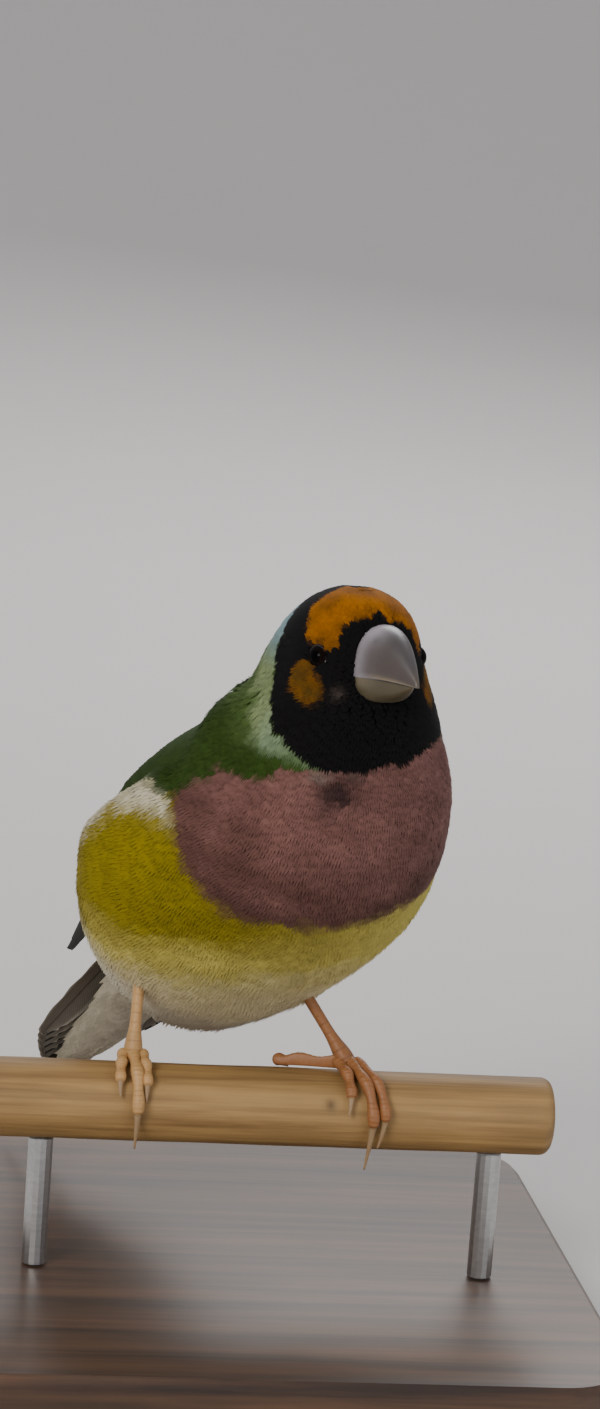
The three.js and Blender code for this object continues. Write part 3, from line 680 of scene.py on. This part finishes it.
def coatDensity(t, angle, p):
    side = np.abs((angle % 360) - 180)
    base = np.where(side > 110, coat["back"], np.where(t > 0.56, coat["belly"], coat["breast"]))
    d = base * (1 - headShare(t)) + coat["head"] * headShare(t)
    d = d + (coat["throat"] - d) * smooth(t, 0.2, 0.26) * (1 - smooth(t, 0.3, 0.38))
    underWing = smooth(side, 122, 134) * (1 - smooth(side, 156, 164))
    d = d * (1 - 0.8 * underWing * smooth(t, 0.54, 0.6) * (1 - smooth(t, 0.84, 0.9)))
    for sign in (-1, 1):
        away = np.linalg.norm(p - eyeCentre(sign), axis=-1)
        d = np.where(away < eyes["lidRadius"] + 0.5, 0, d)
    high = np.where(p[..., 2] > bill["z"], bill["culmen"] * 0.9, bill["jaw"] * 0.85)
    aside, up = np.abs(p[..., 0]) / (bill["width"] * 0.9), np.abs(p[..., 2] - bill["z"]) / high
    return np.where((p[..., 1] < -24) & (aside**3 + up**3 < 1), 0, d)


def growCoat():
    t, angle = scatter(coatDensity)
    p, n, run = bodyFrame(t, angle)
    count, side, head = len(t), np.abs((angle % 360) - 180), headShare(t)
    billBase = np.array([0, bill["y"] - 2, bill["z"] + 1])
    fromBill = np.linalg.norm(p - billBase, axis=-1)
    faceShare = (1 - smooth(fromBill, 9, 17)) * head
    run = np.where(t[:, None] < 0.12, unit(np.array([0.0, 1.0, -0.15]))[None], run)
    way = unit(mix(run, unit(p - billBase), faceShare))
    way = unit(way + 0.2 * np.cross(n, way) * waves(p, 12, 11)[:, None] + 0.07 * rng.normal(size=p.shape))
    way = unit(way - n * (way * n).sum(-1, keepdims=True))
    length = np.interp(t, *coat["length"]) * (1 - head * 0.45 * (1 - smooth(fromBill, 4, 12)))
    length = length * (1 + 0.25 * smooth(side, 60, 95) * smooth(t, 0.5, 0.6)) * rng.uniform(0.82, 1.15, count)
    loose = smooth(t, 0.5, 0.62) * (1 - smooth(side, 108, 120))
    lift = (0.06 + 0.16 * loose) * rng.uniform(0.2, 1.4, count)
    lift = lift + 0.25 * loose * np.clip(waves(p, 7, 12), 0, 1)
    lift = np.where(head > 0.5, 0.05 * rng.uniform(0, 1.4, count), lift)
    sink = coatDepth(t, side) * rng.uniform(0.85, 1.1, count) + 0.35 * coatRise(t, angle)
    centre, normal = layAlong(p, way, length, lift, sink)
    across = unit(np.cross(normal[:, 1], way))
    half = length * np.interp(t, *coat["narrow"]) * rng.uniform(0.85, 1.15, count)
    # a feather's middle is past its root
    middle = np.clip(t + 0.6 * length / body["length"] * (1 - faceShare), 0, 1)
    tint = markings(p + way * length[:, None] * 0.55, angle, middle) * uneven(count, 0.05)
    tipTint = tint * uneven(count, 0.03) * math.exp(0.03)
    uv = bodyUv(t, angle)
    # feathers that the surface has turned back on themselves are left out
    tame = ((normal[:, 2] * n).sum(-1) > 0.6) & (np.linalg.norm(centre[:, 2] - p, axis=-1) < 1.4 * length + 2)
    isHead = (head > 0.35) & tame
    isDown = (t > 0.62) & (p[:, 2] < 24) & (head <= 0.35) & tame
    isBody = ~isHead & ~isDown & tame
    # roots a little darker and tips a little lighter: partly grey down at the base, partly painted shade
    # under overlapping feathers
    layers = (centre, normal, across, half, tint * 0.95, tipTint, uv)
    for label, kind, own in (("head", "face", isHead), ("body", "body", isBody), ("belly", "down", isDown)):
        plantFeathers(f"coat_{label}", kind, [layer[own] for layer in layers])


growCoat()
print("coat done")


# Wings
wing = {
    # shoulder to tip: y, z, half width, depth to the back
    "stations": [(-12.6, 41.6, 15.4, 14.4), (-4.2, 36.0, 18.4, 14.3), (4.0, 30.2, 19.8, 14.0),
                 (13.6, 24.2, 17.8, 12.6), (25.0, 17.8, 13.4, 8.8), (39.0, 9.4, 10.2, 5.4)],
    "pad": {
        "from": 0, "to": 0.56, "middle": 13.6, "tipMiddle": 11, "reach": 9.8, "thickness": 2.5, "sink": 0.1,
    },
    "small": 1150,  # feathers on one shoulder
    "rows": [
        # primaries, secondaries, tertials, greater coverts, median coverts: count, root (t, aside, step),
        # tip (t, step, aside, step), half width, lift, step, edge, tone, pale edge
        (9, (0.42, 16, 0.79), (0.81, 0.0245, 5.4, 0.52), 3.0, 0.95, -0.1, "pointed", (32, 29, 25), 0.25),
        (6, (0.3, 18.5, -1.84), (0.79, -0.0144, 8.0, -0.48), 3.6, 1.1, 0.11, "rounded", (36, 50, 18), 0.15),
        (3, (0.28, 9.5, -2.2), (0.75, -0.055, 6.6, -1.5), 4.0, 1.5, 0.2, "rounded", (36, 58, 12), 0.1),
        (9, (0.12, 20, -1.95), (0.45, -0.005, 18, -1.65), 2.5, 1.5, 0.04, "rounded", (38, 58, 12), 0.05),
        (9, (0.04, 20, -1.95), (0.3, -0.003, 18.6, -1.7), 2.3, 1.8, 0.03, "rounded", (40, 60, 12), 0.0),
    ],
}
vane = {
    "thick": 0.3, "columns": 9,
    # share of the length, share of the half width
    "pointed": ([0, 0.3, 0.65, 0.85, 0.95, 1.0], [0.4, 0.95, 0.95, 0.66, 0.36, 0.03]),
    "rounded": ([0, 0.25, 0.6, 0.82, 0.93, 0.98, 1.0], [0.4, 0.85, 1.0, 0.92, 0.66, 0.34, 0.06]),
    "streamer": ([0, 0.3, 0.58, 0.74, 0.86, 0.98, 1.0], [0.6, 1.0, 0.8, 0.36, 0.16, 0.1, 0.02]),
}
wingSpine = curveTable([(0, s[0], s[1]) for s in wing["stations"]], 301)
wingGirth = curveTable([(s[2], s[3], 0) for s in wing["stations"]], 301)
wingRun = unit(np.gradient(wingSpine, axis=0))
wingTable = np.column_stack([wingSpine[:, 1:], wingRun[:, 1:], wingGirth[:, :2]])
wingSteps = np.linspace(0, 1, len(wingTable))


def onWing(side, t, aside, height):
    t, aside, height = np.broadcast_arrays(t, aside, height)
    at = np.clip(t, 0, 1)
    y, z, ty, tz, w, b = (np.interp(at, wingSteps, wingTable[:, k]) for k in range(6))
    turn = aside / ((w + b) / 2)
    deep = np.cos(turn) * (b + height)
    over = (t - at) * 60  # past either end it goes straight on
    x = side * np.sin(turn) * (w + height)
    return np.stack([x, y + ty * over - tz * deep, z + tz * over + ty * deep], -1)


def onPad(side, share, turn, rise=0.0):  # the shoulder's surface, turn going round its section
    pad = wing["pad"]
    s = np.clip(share, 0, 1)
    bulge = np.sin(np.pi * (0.14 + 0.76 * s)) ** 0.6
    middle = pad["middle"] + (pad["tipMiddle"] - pad["middle"]) * s
    aside = middle + (pad["reach"] + rise) * bulge * np.cos(turn)
    height = (pad["thickness"] + rise) * bulge * np.sin(turn) - pad["sink"]
    return onWing(side, pad["from"] + (pad["to"] - pad["from"]) * share, aside, height)


# Points, faces, uv and colours of one flight feather: upper sheet, then lower sheet
def makeVane(placeAt, half, edge, tone, paleEdge, rows, flip, underTone=None):
    s, u = np.meshgrid(np.linspace(0, 1, rows) ** 0.9, np.linspace(-1, 1, vane["columns"]), indexing="ij")
    notch = 0.04 * np.sin(s * 37 + u * 5) * (np.abs(u) > 0.9) * (s > 0.3)
    aside = u * np.interp(s, *vane[edge]) * half * (1 + notch)
    crown = (1 - u**2) * 0.16 * half + 0.07 * bump(u, 0, 0.14)
    thick = vane["thick"] * 0.5 * (1 - 0.55 * s) * (1 - np.abs(u) ** 3)
    points = np.concatenate([placeAt(s, aside, crown + t).reshape(-1, 3) for t in (thick, -thick)])
    upper = gridFaces(rows, vane["columns"], closed=False)
    faces = np.vstack([upper, upper[:, ::-1] + s.size])
    uv = np.tile(np.stack([0.5 + u / 2, s], -1).reshape(-1, 2), (2, 1))
    shade = (0.82 + 0.25 * smooth(s, 0, 0.8)) * (1 + 0.05 * rng.normal())
    shade = shade * (1 + 2.2 * paleEdge * smooth(np.abs(u), 0.88, 0.99))
    shade = shade * (1 - 0.45 * bump(np.abs(u), 0.84, 0.07) * (paleEdge > 0.3))
    tint = np.vstack([paint(*sheet) * shade.reshape(-1, 1) for sheet in (tone, underTone or tone)])
    return points, faces[:, ::-1] if flip else faces, uv, tint


def joinVanes(name, vanes, replaced):
    starts = np.cumsum([0] + [len(points) for points, *_ in vanes])
    points, uv, tint = (np.vstack([v[k] for v in vanes]) for k in (0, 2, 3))
    faces = np.vstack([v[1] + start for v, start in zip(vanes, starts)])
    made = newMesh(name, points, faces, "vane", tint=tint, uv=uv, uvName="vane")
    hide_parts(replaced)


def makeWing(side, label):
    vanes = []
    for count, root, tip, half, lift, step, edge, tone, pale in wing["rows"]:
        for i in range(count):
            first = (root[0], root[1] + root[2] * i)
            last = (tip[0] + tip[1] * i + rng.normal(0, 0.003), tip[2] + tip[3] * i + rng.normal(0, 0.12))

            def placeAt(s, aside, height):
                t = first[0] + (last[0] - first[0]) * s
                middle = first[1] + (last[1] - first[1]) * s * (0.85 + 0.15 * s)
                up = (lift + step * i) * (0.1 + 0.9 * smooth(s, 0, 0.3))
                return onWing(side, t, middle + aside, height + up - 0.22 * aside / half)

            vanes.append(makeVane(placeAt, half, edge, tone, pale, 22, side > 0))
    joinVanes(f"wing_feathers_{label}", vanes, f"wing_{label}")
    share, turn = np.meshgrid((np.arange(30) + 0.5) / 30, np.arange(40) * np.pi / 20, indexing="ij")
    tubeMesh(f"wing_pad_{label}", onPad(side, share, turn), "skin", tones["backGreen"] * 0.7)
    return padFeathers(side)


def padFeathers(side):  # small feathers over the shoulder
    count = wing["small"]
    share, turn = rng.uniform(-0.02, 0.86, count), rng.uniform(0, 1, count)
    outer = np.interp(share, [0, 0.12, 0.25], [0.2, 0.7, 1.15])  # the flank covers the rest
    turn = outer + (np.pi - outer) * turn
    length = rng.uniform(2.6, 3.8, count)
    stations = ((0, -0.2), (0.5, 0.35), (1, 0.6))  # share of the length, height
    centre = np.stack([onPad(side, share + length / 36 * f, turn, h) for f, h in stations], 1)
    aside = wing["pad"]["middle"] + wing["pad"]["reach"] * np.cos(turn)
    normal = unit(onPad(side, share, turn, 1.0) - onPad(side, share, turn))
    normal = unit(normal + 0.6 * unit(onWing(side, 0.2, aside, 9.0) - onWing(side, 0.2, aside, 0.0)))
    across = unit(np.cross(normal, unit(centre[:, 2] - centre[:, 0])))
    tint = mix(tones["green"], tones["backGreen"], smooth(share, 0, 0.6)) * uneven(count, 0.06)
    uv = np.stack([0.5 + side * (0.1 + 0.3 * turn / np.pi), 0.3 + share * 0.4], -1)
    # darker roots and lighter tips: partly grey down at the base, partly painted shade under overlapping
    # feathers
    return centre, np.stack([normal] * 3, 1), across, length * 0.34, tint * 0.84, tint * 1.06, uv


covertSets = [makeWing(side, label) for side, label in ((-1, "right"), (1, "left"))]
plantFeathers("coat_wing", "body", [np.concatenate(pair) for pair in zip(*covertSets)])
print("wings done")


# Tail
tail = {
    "x": -1.6, "y": 20.5, "z": 23.8, "slope": 47, "swing": 9, "roof": 4, "pairs": 6, "length": 44,
    "shorten": 2.6, "streamer": 13, "halfWidth": 3.4, "drop": 0.42,
    "aside": (1.7, 0.72), "fan": (0.4, 1.5),  # of the middle pair, and more for each pair outwards
    "tone": (30, 29, 28), "underTones": ((70, 66, 60), (140, 135, 124)),  # below: streamers, the rest
}
undertail = {"from": -2, "to": 40, "halfWidth": 6.4, "depth": 3.2, "below": 0.9, "count": 420}
rump = {"count": 300, "from": -9, "run": 17, "length": 9}


def onTail(side, along, across, height, roof=0):
    down, tilt, swing = (math.radians(v) for v in (tail["slope"], roof, tail["swing"]))
    x = side * (across * math.cos(tilt) + height * math.sin(tilt))
    up = height * math.cos(tilt) - across * math.sin(tilt)
    out = along * math.cos(down) + up * math.sin(down)
    c, s = math.cos(swing), math.sin(swing)
    z = tail["z"] - along * math.sin(down) + up * math.cos(down)
    return np.stack([tail["x"] + x * c - out * s, tail["y"] + out * c + x * s, z], -1)


def makeTail():
    vanes = []
    for k in range(tail["pairs"]):
        for side in (-1, 1):
            length = tail["length"] - tail["shorten"] * k if k else tail["length"] + tail["streamer"]
            turn = math.radians(tail["fan"][0] + tail["fan"][1] * k)
            aside = tail["aside"][0] + tail["aside"][1] * k
            drop = tail["drop"] * k - (0.25 if side > 0 and k == 0 else 0)

            def placeAt(s, across, height):
                out = aside + s * length * math.sin(turn) + across
                up = height - drop + 0.12 * across / tail["halfWidth"]
                return onTail(side, s * length * math.cos(turn), out, up, tail["roof"])

            edge, pale = ("rounded", 0.5) if k else ("streamer", 0.05)
            below = tail["underTones"][1 if k else 0]
            vanes.append(makeVane(placeAt, tail["halfWidth"], edge, tail["tone"], pale, 26, side < 0, below))
    joinVanes("tail_feathers", vanes, "tail")


def underRing(share, turn, out):  # the mass of coverts below the tail's root
    s = np.clip(share, 0, 1)
    bulge = np.sqrt(1 - s**1.9) * capShare(np.clip(share + 0.02, 0, 1), 0.3)
    along = undertail["from"] + (undertail["to"] - undertail["from"]) * share
    across = np.sin(turn) * (undertail["halfWidth"] * bulge + out)
    height = (np.cos(turn) - 0.8) * (undertail["depth"] * bulge + out) - undertail["below"]
    return onTail(1, along, across, height)


def makeUndertail():
    share, turn = np.meshgrid((np.arange(24) + 0.5) / 24, np.arange(36) * np.pi / 18, indexing="ij")
    tubeMesh("undertail_skin", underRing(share, turn, -0.9), "skin", tones["white"] * 0.8)
    count = undertail["count"]
    share = np.sort(rng.uniform(-0.05, 0.86, count))
    turn = np.pi + rng.uniform(-1.2, 1.2, count)
    length = (13 - 4 * share) * rng.uniform(0.85, 1.1, count)
    stations = ((0, -0.4), (0.5, 0.25), (1, 0.3))  # share of the length, height
    centre = np.stack([underRing(share + length / 42 * f, turn, h) for f, h in stations], 1)
    normal = unit(underRing(share, turn, 1.0) - underRing(share, turn, 0.0))
    across = unit(np.cross(normal, unit(centre[:, 2] - centre[:, 0])))
    tint = mix(tones["white"], tones["quill"], rng.uniform(0, 0.6, count)) * uneven(count, 0.04)
    uv = np.stack([0.5 + 0.1 * np.sin(turn), 0.93 + 0.04 * share], -1)
    normal = np.stack([normal] * 3, 1)
    # darker roots and lighter tips: partly grey down at the base, partly painted shade under overlapping
    # feathers
    layers = (centre, normal, across, length * 0.17, tint * 0.9, tint * 1.04, uv)
    plantFeathers("coat_undertail", "body", layers)


def makeRump():  # blue feathers above the tail's root
    count = rump["count"]
    share, a = np.sort(rng.uniform(0, 1, count)), rng.uniform(-1, 1, count)
    length, start = rump["length"] + 2 * share, rump["from"] + rump["run"] * share
    bulge, wide = 3.4 - 2.4 * share, 6.4 - 2.4 * share
    stations = ((0, 0.3, 1.0), (0.5, 1.0, 0.97), (1.0, 0.75, 0.85))  # share of the length, height, width
    arch = bulge * np.sqrt(1 - 0.8 * a**2)
    spots = [onTail(1, start + length * f, a * wide * k, arch * h + 0.7) for f, h, k in stations]
    centre = np.stack(spots, 1)
    down = math.radians(tail["slope"])
    normal = unit(np.stack([a * 0.8, np.full(count, math.sin(down)), np.full(count, math.cos(down))], -1))
    across = unit(np.cross(normal, unit(centre[:, 2] - centre[:, 0])))
    tint = tones["rump"] * uneven(count, 0.05)
    uv = np.stack([0.05 + 0.04 * a, 0.9 + 0.04 * share], -1)
    normal = np.stack([normal] * 3, 1)
    # darker roots and lighter tips: partly grey down at the base, partly painted shade under overlapping
    # feathers
    layers = (centre, normal, across, length * 0.2, tint * 0.85, tint * 1.04, uv)
    plantFeathers("coat_rump", "body", layers)


makeTail()
makeUndertail()
makeRump()
print("tail done")


# Bill
def makeBill(label, length, width, height, inner, square):
    rows, columns = 44, 56
    pitch = math.radians(bill["pitch"])
    run = np.array([0, -math.cos(pitch), -math.sin(pitch)])
    up = np.array([0, -math.sin(pitch), math.cos(pitch)])
    s = -bill["root"] + (length + bill["root"]) * (np.arange(rows) + 0.3) / rows
    s, k = np.meshgrid(s, np.arange(columns) * 2 * np.pi / columns, indexing="ij")
    share, cos, sin = np.clip(s / length, 0, 1), np.cos(k), np.sin(k)
    narrow, low = (1 - share**1.15) * 0.97 + 0.03, (1 - share**2) * 0.97 + 0.03
    ridge = 1 + 0.03 * bump(sin, 0, 0.2) * (cos > 0)
    z = np.where(cos > 0, cos * height * low * ridge, cos * inner * low)
    z = z - bill["hook"] * np.maximum(s, 0) ** 2
    p = np.array([0, bill["y"], bill["z"]]) + run * s[..., None] + up * z[..., None]
    p[..., 0] += np.sign(sin) * np.abs(sin) ** square * width * narrow
    root, middle, tip = (paint(*c) for c in bill[label + "Tones"])
    # painted light and shade along the bill: lighter at the root, darker in the middle
    tint = mix(mix(root, middle, smooth(share, 0.02, 0.5)), tip, smooth(share, 0.8, 1.0))
    # a painted highlight on the upper side near the root
    tint = tint * (1 + 0.5 * bump(share, 0.12, 0.2) * bump(sin, -0.35, 0.4) * (cos > 0.2))[..., None]
    if label == "upper":  # painted shade, darker down the sides towards the gape, with a pale cutting edge
        sideShade = smooth(np.abs(sin), 0.35, 0.95) * smooth(cos, -0.1, 0.12) * smooth(share, -0.1, 0.25)
        tint = mix(tint, paint(70, 60, 56), 0.8 * sideShade)
        tint = mix(tint, paint(140, 124, 100), 0.6 * bump(cos, 0, 0.07) * smooth(share, 0.1, 0.4))
        for side in (-1, 1):
            x, y, high = bill["nostril"]
            hole = np.linalg.norm(p - [side * x, bill["y"] + y, bill["z"] + high], axis=-1)
            # painted shade in each nostril's hollow, which is also dented
            tint = tint * (1 - 0.55 * bump(hole, 0, 0.42))[..., None]
            p -= up * (0.35 * bump(hole, 0, 0.45))[..., None]
    else:
        # painted shadow of the upper mandible along the lower one's side
        tint = mix(tint, paint(72, 66, 46), 0.6 * bump(cos, -0.55, 0.22))
    tubeMesh(f"bill_{label}_horn", p, "bill", tint, replaced=[f"bill_{label}"])


makeBill("upper", bill["length"], bill["width"], bill["culmen"], 0.5, 0.7)
makeBill("lower", bill["jawLength"], bill["width"] * 0.98, 0.1, bill["jaw"], 0.6)


# Eyes with their fleshy rings
def makeEye(side, label):
    centre = eyeCentre(side)
    outward = unit(np.array(eyes["faces"]) * [side, 1, 1])
    aside = unit(np.cross([0, 0, 1], outward))
    up = np.cross(outward, aside)
    lat, lon = np.meshgrid(np.linspace(0.02, np.pi - 0.02, 28), np.arange(40) * np.pi / 20, indexing="ij")
    ball = np.cos(lat)[..., None] * outward + (np.sin(lat) * np.cos(lon))[..., None] * aside
    ball = ball + (np.sin(lat) * np.sin(lon))[..., None] * up
    tint = mix(paint(3, 2, 3), paint(16, 10, 8), smooth(lat, 0.5, 0.62))
    ball = centre + ball * eyes["radius"]
    tubeMesh(f"eyeball_{label}", ball, "eye", tint, replaced=[f"eye_{label}"])
    # the last ring is the first one again
    a, b = np.meshgrid(np.arange(73) % 72 * np.pi / 36, np.arange(14) * np.pi / 7, indexing="ij")
    bead = eyes["lid"] * (1 + 0.12 * np.sin(a * 22) * (np.cos(b) > -0.2))
    oval = 1 + 0.1 * np.cos(2 * (a - np.pi / 2 + side * 0.3))
    wide = eyes["lidRadius"] * oval + bead * np.cos(b)
    out = eyes["radius"] * 0.42 + bead * np.sin(b) * 0.9 + 0.05
    rings = centre + out[..., None] * outward + (wide * np.cos(a))[..., None] * aside
    rings = rings + (wide * np.sin(a))[..., None] * up
    tint = mix(paint(16, 14, 14), paint(104, 101, 96), smooth(rings[..., 2] - centre[2], 1.0, -1.2))
    tubeMesh(f"lid_{label}", rings, "lid", tint, caps=False)


for side, label in ((-1, "right"), (1, "left")):
    makeEye(side, label)
print("head details done")


# Legs and feet
leg = {
    "radius": 0.78, "pad": 1.35, "perchRadius": 5.0, "gap": 0.3, "claw": 0.27, "clawTip": 0.14,
    "clawTone": (150, 122, 88),
    # toes: degrees round the perch, sideways start, sideways drift, base radius, drop of the claw
    "right": {"foot": -18.0, "top": (-17.2, 4.5, 24), "tone": (190, 146, 92),
              "toes": [(118, 0, 0.7, 0.8, 1.8), (72, 1.25, 0.5, 0.72, 0.3), (66, -1.25, -0.4, 0.72, 0.3),
                       (-104, 0, -0.3, 0.84, 0.3)]},
    # the left leg's darker tone is painted shade; both legs are one colour
    "left": {"foot": 9.2, "top": (-1.5, 5.5, 22), "tone": (150, 98, 56),
             "toes": [(126, 0.5, 2.9, 0.82, 2.9), (80, -0.8, 1.3, 0.74, 0.3), (116, 1.6, 3.3, 0.74, 0.8),
                      (-38, -0.7, -7.6, 0.8, 0.3)]},
}


def makeShank(spot, tone):
    ankle = np.array([spot["foot"], 0.4, leg["perchRadius"] + leg["gap"] + leg["pad"]])
    run = np.array(spot["top"], float) - ankle
    aside = unit(np.cross(unit(run), [0, -1, 0]))
    front = np.cross(aside, unit(run))
    front = front * np.sign(-front[1])
    s, k = np.meshgrid(np.linspace(-0.03, 1, 120), np.arange(24) * np.pi / 12, indexing="ij")
    scute, facing = (s * 15) % 1, np.clip(np.sin(k), 0, 1)
    thick = leg["radius"] + (leg["pad"] - leg["radius"]) * bump(s, 0, 0.12) + 0.1 * s
    thick = (thick * (1 + 0.09 * (0.5 - scute) * facing) * (1 - 0.12 * np.abs(np.cos(k))))[..., None]
    rings = ankle + run * s[..., None] + thick * (np.cos(k)[..., None] * aside + np.sin(k)[..., None] * front)
    shade = (1 - 0.3 * smooth(scute, 0.8, 1.0) * facing) * (1 - 0.15 * smooth(s, 0.3, 0.0))
    return tubeParts(rings, tone * shade[..., None])


def makeToe(spot, tone, reach, start, drift, radius, drop):
    share, k = np.meshgrid(np.linspace(0, 1, 110), np.arange(16) * np.pi / 8, indexing="ij")
    inClaw = np.maximum(0, (share - (1 - leg["claw"])) / leg["claw"])
    knuckle = 1 + 0.13 * np.cos(share * np.pi * 6.2) * (1 - inClaw)
    thick = radius * (1 - 0.18 * share) * knuckle * (1 - inClaw**0.85) + leg["clawTip"] * inClaw**0.85
    thick = thick * (1 - 0.12 * smooth(inClaw, 0.0, 0.08))
    turn = np.radians(reach * share)
    away = leg["perchRadius"] + leg["gap"] + np.maximum(thick, radius * 0.6) + 0.15 * inClaw
    scute, facing = (share * 21) % 1, np.clip(np.cos(k), 0, 1) * (inClaw == 0)
    wide = thick * (1 + 0.1 * (0.5 - scute) * facing)
    x = spot["foot"] + start + drift * np.sin(share * np.pi * 0.7) + np.sin(k) * wide
    out = away + np.cos(k) * wide
    rings = np.stack([x, -out * np.sin(turn), out * np.cos(turn) - drop * inClaw**2], -1)
    tint = tone * (1 - 0.28 * smooth(scute, 0.8, 1.0) * facing)[..., None]
    return tubeParts(rings, mix(tint, paint(*leg["clawTone"]), smooth(inClaw, 0.0, 0.12)))


def makeLeg(label):
    spot = leg[label]
    tone = paint(*spot["tone"])
    parts = [makeShank(spot, tone)] + [makeToe(spot, tone, *toe) for toe in spot["toes"]]
    starts = np.cumsum([0] + [len(points) for points, *_ in parts])
    faces = np.vstack([part[1] + start for part, start in zip(parts, starts)])
    points, tint = (np.vstack([part[k] for part in parts]) for k in (0, 2))
    made = newMesh(f"leg_skin_{label}", points, faces, "leg", perchToRow, tint)
    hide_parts(f"leg_{label}")


for label in ("right", "left"):
    makeLeg(label)
print("legs done")


# Perch and stand
perch = {"radius": 5.0, "length": 73, "endRound": 1.4, "rows": 160, "columns": 72, "knot": (7.2, -4.6, 1.8)}


def makePerch():
    half, r, e = perch["length"] / 2, perch["radius"], perch["endRound"]
    corner = np.linspace(0, np.pi / 2, 9)
    face = np.stack([np.full(5, -half), np.linspace(0.2, r - e - 0.3, 5)], -1)
    left = np.vstack([face, np.stack([-half + e - e * np.cos(corner), r - e + e * np.sin(corner)], -1)])
    flat = np.linspace(-half + e + 0.4, half - e - 0.4, perch["rows"])
    profile = np.vstack([left, np.stack([flat, np.full(len(flat), r)], -1), left[::-1] * [-1, 1]])
    turn = np.arange(perch["columns"]) * 2 * np.pi / perch["columns"]
    x, k = np.meshgrid(profile[:, 0], turn, indexing="ij")
    rad = np.broadcast_to(profile[:, 1:2], x.shape)
    p = np.stack([x, rad * np.cos(k), rad * np.sin(k)], -1)
    knot = np.linalg.norm(p - perch["knot"], axis=-1)
    rad = rad + (0.05 * waves(p * [0.4, 1, 1], 6, 21) + 0.02 * waves(p * [0.2, 3, 3], 3, 22)) * (rad > 4)
    rad = rad - 0.12 * bump(knot, 0, 0.5)
    p = np.stack([x, rad * np.cos(k), rad * np.sin(k)], -1)
    shade = (1 - 0.7 * bump(knot, 0, 0.7)) * (1 + 0.05 * waves(p * [0.3, 1, 1], 8, 23))
    tint = np.repeat(shade[..., None], 3, -1)
    tubeMesh("perch_dowel", p, "perch", tint, perchToRow, replaced=["perch"])


makePerch()
for name, look in (("stand_base", "base"), ("stand_rod_left", "rod"), ("stand_rod_right", "rod")):
    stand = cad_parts[name].data
    stand.materials.clear()
    stand.materials.append(looks[look])


# Stage, light and camera
stage = {
    "front": -2.5, "bend": 0.3, "radius": 1.8, "wide": 3.0, "high": 3.0,  # metres
    "world": (0.86, 0.87, 0.9, 1.0), "glow": 0.6,
}
lamps = [
    # name, place, size, power, colour
    ("key", (-0.5, -0.68, 0.46), 0.34, 4.8, (1.0, 0.97, 0.92)),
    ("fill", (0.5, -0.6, 0.12), 0.5, 1.6, (0.92, 0.95, 1.0)),
    ("back", (0.15, 0.6, 0.55), 0.4, 3.0, (1.0, 1.0, 1.0)),
]
lampAim = (0, 0, 0.07)
camera = {
    "azimuth": -7, "elevation": 9, "roll": 4.2, "distance": 0.38, "focal": 2964, "sensor": 36,
    "picture": (600, 1409), "perchAt": (270, 1106),  # pixels
}


def makeStage():
    turn = np.linspace(0, np.pi / 2, 25)
    y = stage["bend"] + stage["radius"] * np.sin(turn)
    z = stage["radius"] * (1 - np.cos(turn))
    back = stage["bend"] + stage["radius"]
    run = [(stage["front"], 0), *zip(y.tolist(), z.tolist()), (back, stage["high"])]
    points = [(x, y, z) for y, z in run for x in (-stage["wide"], stage["wide"])]
    mesh = bpy.data.meshes.new("floor")
    mesh.from_pydata(points, [], [(2 * k, 2 * k + 1, 2 * k + 3, 2 * k + 2) for k in range(len(run) - 1)])
    mesh.polygons.foreach_set("use_smooth", [True] * len(mesh.polygons))
    mesh.materials.append(looks["floor"])
    floor = bpy.data.objects.new("floor", mesh)
    bpy.context.scene.collection.objects.link(floor)
    world = bpy.data.worlds.new("studio")
    world.use_nodes = True
    world.node_tree.nodes["Background"].inputs[0].default_value = stage["world"]
    world.node_tree.nodes["Background"].inputs[1].default_value = stage["glow"]
    bpy.context.scene.world = world
    for name, spot, size, power, colour in lamps:
        light = bpy.data.lights.new(name, "AREA")
        light.size, light.energy, light.color = size, power, colour
        lamp = bpy.data.objects.new(name, light)
        lamp.location = spot
        lamp.rotation_mode = "QUATERNION"
        lamp.rotation_quaternion = (Vector(lampAim) - Vector(spot)).to_track_quat("-Z", "Y")
        bpy.context.scene.collection.objects.link(lamp)


def makeCamera():
    a, e, r = (math.radians(camera[key]) for key in ("azimuth", "elevation", "roll"))
    ahead = Vector((-math.sin(a) * math.cos(e), math.cos(a) * math.cos(e), -math.sin(e)))
    level = Vector((math.cos(a), math.sin(a), 0))
    upright = level.cross(ahead)
    right = level * math.cos(r) + upright * math.sin(r)
    up = upright * math.cos(r) - level * math.sin(r)
    wide, tall = camera["picture"]
    u, v = camera["perchAt"]
    scale = camera["distance"] / camera["focal"]
    perchSpot = Vector((0, place["perchY"] / 1000, place["perchZ"] / 1000))
    aside = right * (u - wide / 2) * scale - up * (v - tall / 2) * scale
    spot = perchSpot - aside - ahead * camera["distance"]
    data = bpy.data.cameras.new("camera")
    data.sensor_width, data.clip_start = camera["sensor"], 0.01
    data.lens = camera["sensor"] * camera["focal"] / tall
    made = bpy.data.objects.new("camera", data)
    axes = zip(right, up, -ahead, spot)
    made.matrix_world = Matrix([*axes, (0, 0, 0, 1)])
    bpy.context.scene.collection.objects.link(made)
    bpy.context.scene.camera = made


makeStage()
makeCamera()
